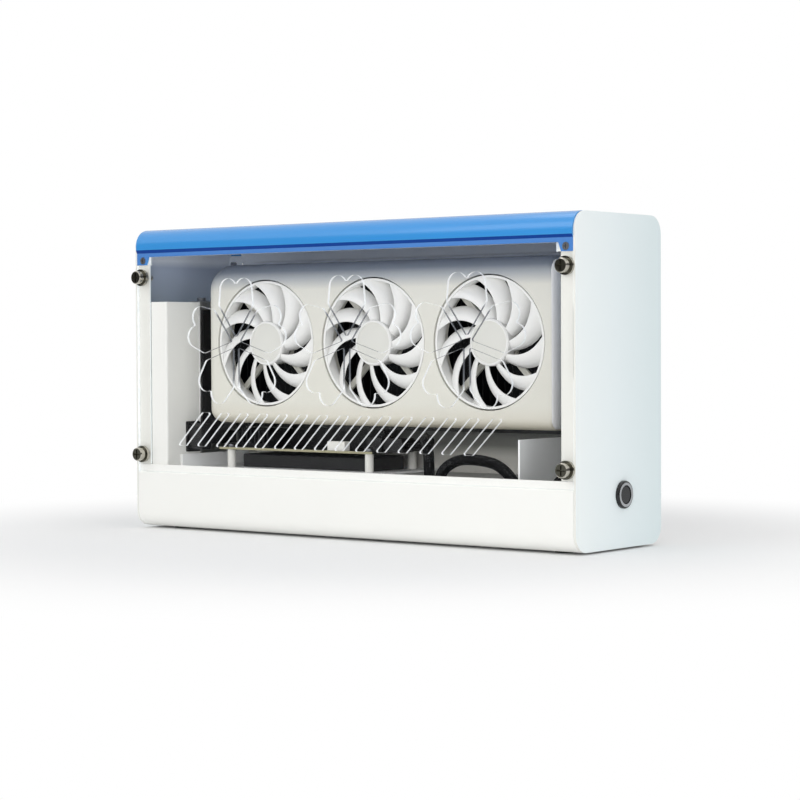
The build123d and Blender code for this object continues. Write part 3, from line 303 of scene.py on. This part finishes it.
def dress_inside(material, *names):
    """Give the faces that look into the case a second material, here the painted light and shade of the inside.
    """
    centre = Vector((0.0, 0.0, 0.11))
    for name in names:
        mesh = nodes[name].data
        mesh.materials.append(material)
        for face in mesh.polygons:
            if face.center.y > BEHIND_RIMS and face.normal.dot(centre - face.center) > 0:
                face.material_index = len(mesh.materials) - 1


def dress_band(material, name, low, high):
    """Give a node's front faces between two heights another material."""
    mesh = nodes[name].data
    mesh.materials.append(material)
    for face in mesh.polygons:
        if low < face.center.z < high and face.center.y < FRONT_FACES and abs(face.normal.x) < 0.5:
            face.material_index = len(mesh.materials) - 1


dress_band(groove_coat, "top_cover", GROOVE_BOTTOM, GROOVE_TOP)
dress_band(lip_painted_shade, "top_cover", LIP_BOTTOM, GROOVE_BOTTOM)
for name in ("end_panel_left", "end_panel_right"):
    dress_band(rim_painted_shade, name, 0.0, CASE_TOP)
dress_inside(inner_painted_light_and_shade, "chassis_shell", "top_cover", "end_panel_left", "end_panel_right")
print("coats", white_coat.name, blue_coat.name)

# %% [markdown]
# ## Plastics, boards and rubber
# Inside are off-white moulded plastic on the card, white nylon standoffs, black plastic
# sockets and plugs, black circuit boards and black anodised fins. They share the grain group,
# with their own gloss.

# %% Plastics, boards and rubber
shroud_painted_shade = grained("off-white plastic", srgb(228, 227, 217), 0.4, 1100.0, 0.00002, 0.03)
# Painted shade by height: the shroud darkens to a brownish tone at its bottom edge and to slate under the lid at
# its top.
by_place(shroud_painted_shade, "Z", [
    (0.0763, srgb(196, 190, 172)),
    (0.084, srgb(221, 218, 206)),
    (0.092, srgb(226, 225, 215)),
    (0.171, srgb(225, 224, 216)),
    (0.179, srgb(172, 177, 182)),
    (0.184, srgb(118, 126, 138)),
    (0.1897, srgb(96, 104, 120)),
])
# Painted light on the shroud's shaded end face: a brighter white than the shroud itself.
shroud_end_painted_light = grained("off-white plastic with painted light", srgb(252, 253, 254), 0.4, 1100.0, 0.00002, 0.03)
# Painted shade: the hub's recessed disc gets a greyer white than the blades.
hub_disc_painted_shade = grained("hub disc with painted shade", srgb(222, 222, 216), 0.4, 900.0, 0.00001, 0.02)
fan_plastic = grained("white fan plastic", srgb(240, 240, 238), 0.34, 900.0, 0.00001, 0.02)
nylon = grained("white nylon", srgb(236, 235, 230), 0.45, 800.0, 0.00001)
black_plastic = grained("black plastic", srgb(26, 26, 28), 0.5, 1400.0, 0.00003, 0.2)
board_core = grained("board core", srgb(168, 164, 134), 0.6, 900.0, 0.00001, 0.1)
board_mask = grained("black board", srgb(24, 27, 26), 0.32, 700.0, 0.00001, 0.25)
fin_metal = grained("black anodised fins", srgb(30, 31, 34), 0.42, 1600.0, 0.00001, 0.2, metallic=0.6)
chip_mould = grained("dark chip mould", srgb(52, 53, 56), 0.45, 1200.0, 0.00001, 0.1)
supply_coat = grained("light grey supply coat", srgb(186, 186, 183), 0.5, PAINT_GRAIN, PAINT_PEEL, 0.06)
rubber = grained("black rubber", srgb(30, 30, 30), 0.75, 1800.0, 0.00004, 0.2)
dress(shroud_painted_shade, "card_shroud")
dress(fan_plastic, "fan_rotor_1", "fan_rotor_2", "fan_rotor_3")
dress(nylon, "standoffs", "board_header")
dress(black_plastic, "link_socket", "card_slot", "board_power_socket", "board_plug", "card_power_socket",
      "card_plug", "supply_fan_frame", "supply_fan_rotor", "supply_inlet", "mains_inlet", "mains_plug")
dress(board_mask, "card_pcb", "dock_board")
board = nodes["dock_board"].data
board.materials.append(board_core)
for face in board.polygons:
    if face.normal.y < -0.7:
        face.material_index = 1
dress(fin_metal, "card_heatsink", "chip_heatsink", "card_backplate")
dress(chip_mould, "card_chip")
dress(supply_coat, "supply_case")
dress(rubber, "rubber_feet", "mains_lead")
print("plastics done")

# %% [markdown]
# ## Metals
# Turned and plated metal shows fine lines from the tool. The lines are noise that is squeezed
# along one axis, so that it draws out into streaks. They change the gloss and the slope, while
# the colour hardly moves. The thumbscrews' end faces and recesses get painted shade, a darker
# nickel, and the button's sloping rim is black.

# %% Metals
BUTTON_Y, BUTTON_Z, BUTTON_BEVEL = 0.00665, 0.0357, 0.0078


def make_line_group():
    """Colour, roughness and height of metal with streaks from the tool."""
    inputs = [("Vector", "Vector", None), ("Colour", "Color", (0.8, 0.8, 0.8, 1.0)), ("Roughness", "Float", 0.3)]
    outputs = [("Colour", "Color"), ("Roughness", "Float"), ("Height", "Float")]
    group, source, target = new_group("Tool lines", inputs, outputs)
    stretch = group.nodes.new("ShaderNodeMapping")
    stretch.inputs["Scale"].default_value = (2500.0, 2500.0, 120.0)
    group.links.new(source.outputs["Vector"], stretch.inputs["Vector"])
    lines = add_noise(group, stretch.outputs["Vector"], 1.0, 3.0)
    centred = add_math(group, "SUBTRACT", lines, 0.5)
    tone = add_math(group, "MULTIPLY_ADD", centred, 0.16, 1.0)
    group.links.new(shaded(group, source.outputs["Colour"], tone), target.inputs["Colour"])
    rough = add_math(group, "MULTIPLY_ADD", centred, 0.22, source.outputs["Roughness"])
    group.links.new(rough, target.inputs["Roughness"])
    group.links.new(lines, target.inputs["Height"])
    return group


line_group = make_line_group()


def bare_metal(name, colour, roughness, depth):
    """Plated or brushed metal with tool lines."""
    material, tree, shader, place = start_material(name)
    group = tree.nodes.new("ShaderNodeGroup")
    group.node_tree = line_group
    group.inputs["Colour"].default_value = colour
    group.inputs["Roughness"].default_value = roughness
    tree.links.new(place, group.inputs["Vector"])
    tree.links.new(group.outputs["Colour"], shader.inputs["Base Color"])
    tree.links.new(group.outputs["Roughness"], shader.inputs["Roughness"])
    add_bump(tree, shader, group.outputs["Height"], depth, 0.4)
    shader.inputs["Metallic"].default_value = 1.0
    return material


nickel = bare_metal("nickel plate", srgb(186, 182, 172), 0.16, 0.000004)
nickel_painted_shade = bare_metal("shaded nickel plate", srgb(92, 91, 82), 0.22, 0.000004)
screw_steel = bare_metal("screw steel", srgb(150, 152, 158), 0.3, 0.000006)
bright_steel = bare_metal("bracket steel", srgb(190, 191, 192), 0.32, 0.000008)
dark_steel = bare_metal("motor steel", srgb(120, 121, 124), 0.4, 0.000008)
ring_steel = bare_metal("button ring steel", srgb(190, 193, 196), 0.2, 0.000004)
dress(nickel, "window_thumbscrews")
screws = nodes["window_thumbscrews"].data
# Painted shade: the screws' faces that look forward get a darker nickel.
screws.materials.append(nickel_painted_shade)
for face in screws.polygons:
    if face.normal.y < -0.9:
        face.material_index = 1
dress(screw_steel, "cover_screws", "window_nuts", "bracket_screws", "board_screws", "supply_screws",
      "button_nut")
dress(bright_steel, "card_bracket", "card_ports")
dress(dark_steel, "fan_motor_1", "fan_motor_2", "fan_motor_3")
dress(ring_steel, "button_body")
black_gloss = grained("black button rim", srgb(16, 17, 19), 0.2, 900.0, 0.000004, 0.1)
body = nodes["button_body"].data
body.materials.append(black_gloss)
for face in body.polygons:
    if math.hypot(face.center.y - BUTTON_Y, face.center.z - BUTTON_Z) > BUTTON_BEVEL:
        face.material_index = 1
button_gloss = grained("dark button cap", srgb(24, 26, 29), 0.2, 900.0, 0.000004, 0.1)
dress(button_gloss, "button_cap")
print("metals", line_group.name)

# %% [markdown]
# ## Braided sleeve
# The two power cables wear a woven black sleeve. Two sets of slanted threads cross over each
# other, which makes small lozenges. Fine cells in Object coordinates give the same broken
# sheen at this size, with no need for coordinates along the cable.

# %% Braided sleeve
def braid():
    """Black sleeve whose fine cells stand for the woven threads."""
    material, tree, shader, place = start_material("black braided sleeve")
    cells = tree.nodes.new("ShaderNodeTexVoronoi")
    cells.inputs["Scale"].default_value = 560.0
    cells.inputs["Randomness"].default_value = 0.35
    tree.links.new(place, cells.inputs["Vector"])
    distance = cells.outputs["Distance"]
    colour = add_mix(tree, add_math(tree, "MULTIPLY", distance, 2.6), srgb(82, 82, 84), srgb(0, 0, 1))
    tree.links.new(colour, shader.inputs["Base Color"])
    shader.inputs["Roughness"].default_value = 0.6
    shader.inputs["Specular IOR Level"].default_value = 0.12
    height = add_math(tree, "SUBTRACT", 1.0, distance)
    add_bump(tree, shader, height, 0.0004, 0.8)
    return material


sleeve = braid()
dress(sleeve, "board_cable", "card_cable")
print("sleeve on two cables")

# %% [markdown]
# ## Pieces made from a node
# A few pieces look better with a small change of shape, such as a thinner ring round a fan. The
# solid's own mesh stays as it is. A copy of it is bent by a function that moves each point, and
# the copy stands for the node.

# %% Reshape helper
def reshaped(name, node, move, body="enclosure"):
    """Copy of a node's mesh with each point moved, which stands for the node."""
    mesh = nodes[node].data.copy()
    for vertex in mesh.vertices:
        vertex.co = move(vertex.co)
    piece = bpy.data.objects.new(name, mesh)
    bpy.context.scene.collection.objects.link(piece)
    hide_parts(node)
    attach(piece, body)
    return piece


def stretched(value, stops):
    """Value carried from one list of stops to another, straight between them."""
    for (a0, b0), (a1, b1) in zip(stops, stops[1:]):
        if value <= a1:
            return b0 + (value - a0) * (b1 - b0) / (a1 - a0)
    return value + stops[-1][1] - stops[-1][0]


print("reshape", stretched(5.0, [(0.0, 0.0), (10.0, 20.0)]))

# %% [markdown]
# ## Clear window
# The window is polished acrylic. Its faces hardly show, apart from a faint reflection, while
# the cut edges gather light and look white. So the mesh gets two materials: the faces that look
# forward or back are nearly clear, and the narrow faces of the cuts get painted light, a white that
# glows a little. Light that leaves through the back face would be mirrored in full past 42 degrees,
# so the sheet's reflection counts on its front faces alone. Near the middle of each blossom the cut
# edges get a painted dark reflection of the fans behind, so their colour changes with the distance
# from the nearest centre.

# %% Clear window
BLOSSOM_START, BLOSSOM_PITCH, BLOSSOM_HEIGHT = -0.0946, 0.0997, 0.1335
DARK_WITHIN, BRIGHT_BEYOND = 0.025, 0.031
WINDOW_MIDDLE, RIM_CLEARANCE = -0.0464, 0.00012


def clear_sheet():
    """Nearly clear acrylic with a faint reflection on its front faces."""
    material, tree, shader, place = start_material("clear acrylic")
    shader.inputs["Base Color"].default_value = srgb(226, 232, 236)
    shader.inputs["Roughness"].default_value = 0.04
    gloss = tree.nodes.new("ShaderNodeFresnel")
    gloss.inputs["IOR"].default_value = 1.49
    side = tree.nodes.new("ShaderNodeNewGeometry").outputs["Backfacing"]
    front = add_math(tree, "SUBTRACT", 1.0, side)
    seen = add_math(tree, "MULTIPLY", gloss.outputs["Fac"], front)
    tree.links.new(add_math(tree, "MULTIPLY", seen, 0.15), shader.inputs["Alpha"])
    add_bump(tree, shader, add_noise(tree, place, 14.0, 1.0), 0.0002, 0.1)
    return material


def make_blossom_group():
    """Distance from the nearest blossom centre, seen from the front."""
    group, source, target = new_group("Blossom distance", [("Vector", "Vector", None)], [("Distance", "Float")])
    split = group.nodes.new("ShaderNodeSeparateXYZ")
    group.links.new(source.outputs["Vector"], split.inputs["Vector"])
    along = add_math(group, "ADD", split.outputs["X"], 0.5 * BLOSSOM_PITCH - BLOSSOM_START)
    along = add_math(group, "MODULO", along, BLOSSOM_PITCH)
    along = add_math(group, "SUBTRACT", along, 0.5 * BLOSSOM_PITCH)
    rise = add_math(group, "SUBTRACT", split.outputs["Z"], BLOSSOM_HEIGHT)
    square = add_math(group, "MULTIPLY_ADD", rise, rise, add_math(group, "MULTIPLY", along, along))
    group.links.new(add_math(group, "SQRT", square), target.inputs["Distance"])
    return group


def cut_edge_painted_light():
    """Cut edge with painted light that glows, and a painted dark reflection near the middle of each blossom."""
    material, tree, shader, place = start_material("acrylic cut edge with painted light")
    group = tree.nodes.new("ShaderNodeGroup")
    group.node_tree = make_blossom_group()
    tree.links.new(place, group.inputs["Vector"])
    reach = tree.nodes.new("ShaderNodeMapRange")
    reach.interpolation_type = "SMOOTHSTEP"
    reach.inputs["From Min"].default_value = DARK_WITHIN
    reach.inputs["From Max"].default_value = BRIGHT_BEYOND
    tree.links.new(group.outputs["Distance"], reach.inputs["Value"])
    streaks = add_noise(tree, place, 260.0, 2.0)
    bright = add_mix(tree, streaks, srgb(255, 255, 255), srgb(214, 220, 224))
    dark = add_mix(tree, streaks, srgb(74, 78, 84), srgb(120, 124, 130))
    colour = add_mix(tree, reach.outputs["Result"], dark, bright)
    tree.links.new(colour, shader.inputs["Base Color"])
    # Painted light: the edge also glows with its own colour.
    tree.links.new(colour, shader.inputs["Emission Color"])
    shader.inputs["Emission Strength"].default_value = 0.35
    shader.inputs["Roughness"].default_value = 0.2
    shader.inputs["Alpha"].default_value = 0.85
    return material


def make_window():
    """Window whose back face stands a hair clear of the rims that carry it."""
    def clear_of_rims(point):
        back = point.y > WINDOW_MIDDLE
        return Vector((point.x, point.y - RIM_CLEARANCE if back else point.y, point.z))

    piece = reshaped("clear_window", "window_panel", clear_of_rims)
    piece.data.materials.clear()
    piece.data.materials.append(clear_sheet())
    piece.data.materials.append(cut_edge_painted_light())
    for face in piece.data.polygons:
        face.material_index = 0 if abs(face.normal.y) > 0.7 else 1
    return piece


window = make_window()
print("edge faces", sum(face.material_index for face in window.data.polygons))

# %% [markdown]
# ## Shroud and fans
# In the photograph the card's shroud ends a little short of the right rim, so that its shaded
# end face shows as a narrow band. The fans have a slim ring at the tips and a smaller hub with
# a raised ring of its own.

# %% Shroud and fans
FAN_START, FAN_PITCH, FAN_HEIGHT = -0.0953, 0.0973, 0.1335
HUB_DISC = 0.0143


def put_in_scene(name, data, body="enclosure"):
    """Object that holds the data and rides on a body."""
    piece = bpy.data.objects.new(name, data)
    bpy.context.scene.collection.objects.link(piece)
    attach(piece, body)
    return piece


def make_block(name, middle, size, material, bevel=0.0):
    """Plain block, with its edges rounded where a bevel is given."""
    mesh = bmesh.new()
    bmesh.ops.create_cube(mesh, size=1.0, matrix=Matrix.LocRotScale(middle, None, size))
    if bevel:
        bmesh.ops.bevel(mesh, geom=mesh.edges[:], offset=bevel, segments=2, affect="EDGES", profile=0.5)
    data = bpy.data.meshes.new(name)
    mesh.to_mesh(data)
    mesh.free()
    data.materials.append(material)
    return put_in_scene(name, data)


def make_shroud():
    """Shroud with its ends drawn to where the photograph has them."""
    stops = [(-0.1512, -0.1532), (-0.1403, -0.1403), (0.1448, 0.1448), (0.1608, 0.1513)]
    piece = reshaped("slim_shroud", "card_shroud", lambda p: Vector((stretched(p.x, stops), p.y, p.z)))
    piece.data.materials.append(shroud_end_painted_light)
    # Painted light: the shroud's shaded end face gets a brighter white than the rest of the shroud.
    for face in piece.data.polygons:
        if face.normal.x > 0.6 and face.center.x > 0.149:
            face.material_index = 1
    return piece


def make_rotor(i):
    """Rotor with its points carried outwards or inwards from the axis."""
    axis = FAN_START + FAN_PITCH * i
    stops = [(0.0, 0.0), (0.008, 0.008), (0.017, 0.0157), (0.0412, 0.0424), (0.0438, 0.044)]

    def from_axis(point):
        across, rise = point.x - axis, point.z - FAN_HEIGHT
        radius = math.hypot(across, rise)
        scale = stretched(radius, stops) / radius if radius > 0 else 1.0
        return Vector((axis + across * scale, point.y, FAN_HEIGHT + rise * scale))

    piece = reshaped(f"slim_rotor_{i + 1}", f"fan_rotor_{i + 1}", from_axis, f"card_fan_{i + 1}")
    # Painted shade on the recessed hub disc.
    piece.data.materials.append(hub_disc_painted_shade)
    for face in piece.data.polygons:
        inner = math.hypot(face.center.x - axis, face.center.z - FAN_HEIGHT) < HUB_DISC
        if inner and face.normal.y < -0.7:
            face.material_index = 1
    return piece


def make_grille_shade_plate():
    """Black plate behind the bracket's grille: painted shade that closes the view through it."""
    low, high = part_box("card_bracket")
    middle = Vector((high[0] + 0.0006, 0.5 * (low[1] + high[1]), 0.5 * (low[2] + high[2])))
    # Painted shade: a dark sheet where only shade is seen.
    return make_block("grille_shade_plate", middle, Vector((0.0008, 0.036, 0.098)), black_plastic)


def make_hub_ring(i):
    """Raised ring on the face of a fan's hub."""
    low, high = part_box(f"fan_rotor_{i + 1}")
    centre = (FAN_START + FAN_PITCH * i, low[1] + 0.0003, FAN_HEIGHT)
    bpy.ops.mesh.primitive_torus_add(major_radius=0.0145, minor_radius=0.0006, major_segments=72,
                                     minor_segments=10, location=centre, rotation=(math.pi / 2, 0.0, 0.0))
    ring = bpy.context.object
    ring.name = f"hub_ring_{i + 1}"
    ring.data.transform(ring.matrix_world)
    ring.matrix_world = Matrix()
    for face in ring.data.polygons:
        face.use_smooth = True
    ring.data.materials.append(fan_plastic)
    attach(ring, f"card_fan_{i + 1}")
    return ring


shroud = make_shroud()
make_grille_shade_plate()
rotors = [make_rotor(i) for i in range(3)]
rings = [make_hub_ring(i) for i in range(3)]
print("rotors", [r.name for r in rotors], [r.name for r in rings])

# %% [markdown]
# ## Under the dock board
# A black module fills the space between the board and its tray. In the photograph it hides
# the two rear standoffs on the left.

# %% Under the dock board
module = make_block("board_module", Vector((-0.0662, 0.01225, 0.04925)), Vector((0.118, 0.038, 0.0095)),
                    black_plastic, bevel=0.0008)
print("module", module.name)

# %% [markdown]
# ## Power cables
# The two sleeved cables are stiff but smooth. Each is one open curve through the same route as
# its solid, with the plug at its end left as it is.

# %% Power cables
def make_cable(name, node, points):
    """Sleeved cable along its points, which stands for a node and ends in a plug."""
    data = bpy.data.curves.new(name, "CURVE")
    data.dimensions = "3D"
    data.resolution_u = 16
    data.bevel_depth = 0.0036
    data.bevel_resolution = 6
    data.use_fill_caps = True
    spline = data.splines.new("NURBS")
    spline.points.add(len(points) - 1)
    for knot, point in zip(spline.points, points):
        knot.co = (*point, 1.0)
    spline.order_u = 3
    spline.use_endpoint_u = True
    data.materials.append(sleeve)
    piece = put_in_scene(name, data)
    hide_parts(node)
    return piece


make_cable("board_sleeve", "board_cable", [
    (-0.0102, -0.02085, 0.02295),
    (-0.0262, -0.02085, 0.02295),
    (-0.0362, -0.02385, 0.0215),
    (-0.0362, -0.03625, 0.0185),
    (-0.0262, -0.03925, 0.0170),
    (0.0388, -0.03925, 0.0180),
    (0.0672, -0.03825, 0.0245),
    (0.0656, -0.03625, 0.0635),
    (0.0518, -0.02425, 0.0715),
    (0.0388, 0.00375, 0.0635),
    (0.0168, 0.00375, 0.0635),
])
make_cable("card_sleeve", "card_cable", [
    (0.0765, -0.03085, 0.0310),
    (0.0765, -0.03750, 0.0320),
    (0.0745, -0.03750, 0.0480),
    (0.0885, -0.03700, 0.0572),
    (0.1050, -0.03650, 0.0576),
    (0.1240, -0.03650, 0.0545),
    (0.1388, -0.03650, 0.0385),
    (0.1560, -0.03600, 0.0345),
    (0.1711, -0.03025, 0.0500),
    (0.1711, -0.00425, 0.0775),
    (0.1711, 0.01675, 0.0995),
    (0.1711, 0.01675, 0.1195),
])
print("cables done")

# %% [markdown]
# ## Floor and backdrop
# The product stands in plain white space. A wide pale floor catches its soft shadow. The world
# is plain white for the camera, and a calmer grey white for the light that it gives, so that
# white paint keeps some shape. What metal mirrors is white above and dark near the horizon, as
# in a studio, because a metal in an all-white room looks flat.

# %% Floor and backdrop
FLOOR_HALF = 4.0
FADE_START, FADE_END = 0.2, 0.48
WORLD_LIGHT = 0.55
MIRRORED_DARK, HORIZON_DARK, HORIZON_WHITE = 0.12, 0.26, 0.34


def pale_floor():
    """Wide floor that fades to pure white away from the case, for the camera alone."""
    mesh = bmesh.new()
    bmesh.ops.create_grid(mesh, x_segments=1, y_segments=1, size=FLOOR_HALF)
    data = bpy.data.meshes.new("floor")
    mesh.to_mesh(data)
    mesh.free()
    floor = bpy.data.objects.new("floor", data)
    bpy.context.scene.collection.objects.link(floor)
    material, tree, shader, place = start_material("pale floor")
    tone = add_mix(tree, add_noise(tree, place, 3.0, 2.0), srgb(250, 250, 250), srgb(246, 247, 248))
    tree.links.new(tone, shader.inputs["Base Color"])
    shader.inputs["Roughness"].default_value = 0.7
    length = tree.nodes.new("ShaderNodeVectorMath")
    length.operation = "LENGTH"
    tree.links.new(place, length.inputs[0])
    fade = tree.nodes.new("ShaderNodeMapRange")
    fade.interpolation_type = "SMOOTHSTEP"
    fade.inputs["From Min"].default_value = FADE_START
    fade.inputs["From Max"].default_value = FADE_END
    tree.links.new(length.outputs["Value"], fade.inputs["Value"])
    rays = tree.nodes.new("ShaderNodeLightPath")
    seen = add_math(tree, "MULTIPLY", fade.outputs["Result"], rays.outputs["Is Camera Ray"])
    glow = tree.nodes.new("ShaderNodeEmission")
    mix = tree.nodes.new("ShaderNodeMixShader")
    tree.links.new(seen, mix.inputs["Fac"])
    tree.links.new(shader.outputs["BSDF"], mix.inputs[1])
    tree.links.new(glow.outputs["Emission"], mix.inputs[2])
    tree.links.new(mix.outputs["Shader"], tree.nodes["Material Output"].inputs["Surface"])
    data.materials.append(material)
    return floor


def white_world(light_strength):
    """World that is white for the camera, calmer as light, and dark low down in a mirror."""
    world = bpy.data.worlds.new("studio")
    world.use_nodes = True
    tree = world.node_tree
    background = tree.nodes["Background"]
    background.inputs["Color"].default_value = (1.0, 1.0, 1.0, 1.0)
    rays = tree.nodes.new("ShaderNodeLightPath")
    seen = add_math(tree, "MAXIMUM", rays.outputs["Is Camera Ray"], rays.outputs["Is Transmission Ray"])
    strength = add_math(tree, "MULTIPLY_ADD", seen, 1.0 - light_strength, light_strength)
    split = tree.nodes.new("ShaderNodeSeparateXYZ")
    tree.links.new(tree.nodes.new("ShaderNodeTexCoord").outputs["Generated"], split.inputs["Vector"])
    sky = tree.nodes.new("ShaderNodeMapRange")
    sky.interpolation_type = "SMOOTHSTEP"
    sky.inputs["From Min"].default_value = HORIZON_DARK
    sky.inputs["From Max"].default_value = HORIZON_WHITE
    sky.inputs["To Min"].default_value = MIRRORED_DARK
    tree.links.new(split.outputs["Z"], sky.inputs["Value"])
    mirrored = tree.nodes.new("ShaderNodeMix")
    tree.links.new(rays.outputs["Is Glossy Ray"], mirrored.inputs["Factor"])
    tree.links.new(strength, mirrored.inputs["A"])
    tree.links.new(sky.outputs["Result"], mirrored.inputs["B"])
    tree.links.new(mirrored.outputs["Result"], background.inputs["Strength"])
    bpy.context.scene.world = world


floor = pale_floor()
white_world(WORLD_LIGHT)
print("floor at z", floor.location.z)

# %% [markdown]
# ## Lights
# Large soft lamps do the work. The key hangs high in front and to the left. A second one
# stands beside the camera and reaches into the case. A weak fill stands at the right, level
# with the end panel, and an overhead lamp draws the bright line along the lid's bend. The front
# and fill lamps aren't mirrored, or they would show as a white sheet on the lid from behind.

# %% Lights
def soft_lamp(name, place, target, width, height, power, mirrored=True):
    """Area lamp that looks at a target, seen in mirrors or not."""
    data = bpy.data.lights.new(name, "AREA")
    data.shape = "RECTANGLE"
    data.size = width
    data.size_y = height
    data.energy = power
    lamp = bpy.data.objects.new(name, data)
    lamp.location = place
    lamp.visible_glossy = mirrored
    aim = Vector(target) - Vector(place)
    lamp.rotation_mode = "QUATERNION"
    lamp.rotation_quaternion = aim.to_track_quat("-Z", "Y")
    bpy.context.scene.collection.objects.link(lamp)
    return lamp


middle = (0.0, 0.0, 0.11)
soft_lamp("key", (-0.6, -1.7, 1.2), middle, 1.4, 1.0, 6.5)
soft_lamp("front", (0.8, -1.6, 0.34), middle, 0.9, 0.5, 8.5, mirrored=False)
soft_lamp("fill", (1.6, -0.5, 0.6), middle, 1.0, 1.2, 3.0, mirrored=False)
soft_lamp("top", (0.0, 0.1, 1.6), middle, 1.6, 0.8, 6.0)

# %% [markdown]
# ## Camera
# The camera stands at the right front, a little above the case, with a long lens. Its place,
# lens and slight roll were worked out once from the corners of the case in the photograph.

# %% Camera
CAMERA_PLACE = (0.95095, -1.20348, 0.13469)
CAMERA_AZIMUTH, CAMERA_PITCH, CAMERA_ROLL = 37.925, 1.521, -0.256
CAMERA_LENS = 100.18


def photo_camera():
    """Camera at the photograph's angle."""
    data = bpy.data.cameras.new("camera")
    data.sensor_width = 36.0
    data.lens = CAMERA_LENS
    camera = bpy.data.objects.new("camera", data)
    azimuth = math.radians(CAMERA_AZIMUTH)
    pitch = math.radians(CAMERA_PITCH)
    level = math.cos(pitch)
    view = Vector((-math.sin(azimuth) * level, math.cos(azimuth) * level, -math.sin(pitch)))
    camera.location = CAMERA_PLACE
    camera.rotation_mode = "QUATERNION"
    roll = Quaternion((0, 0, 1), math.radians(CAMERA_ROLL))
    camera.rotation_quaternion = view.to_track_quat("-Z", "Y") @ roll
    bpy.context.scene.collection.objects.link(camera)
    bpy.context.scene.camera = camera
    return camera


camera = photo_camera()
bpy.context.scene.view_settings.view_transform = "Standard"
print("lens", camera.data.lens)
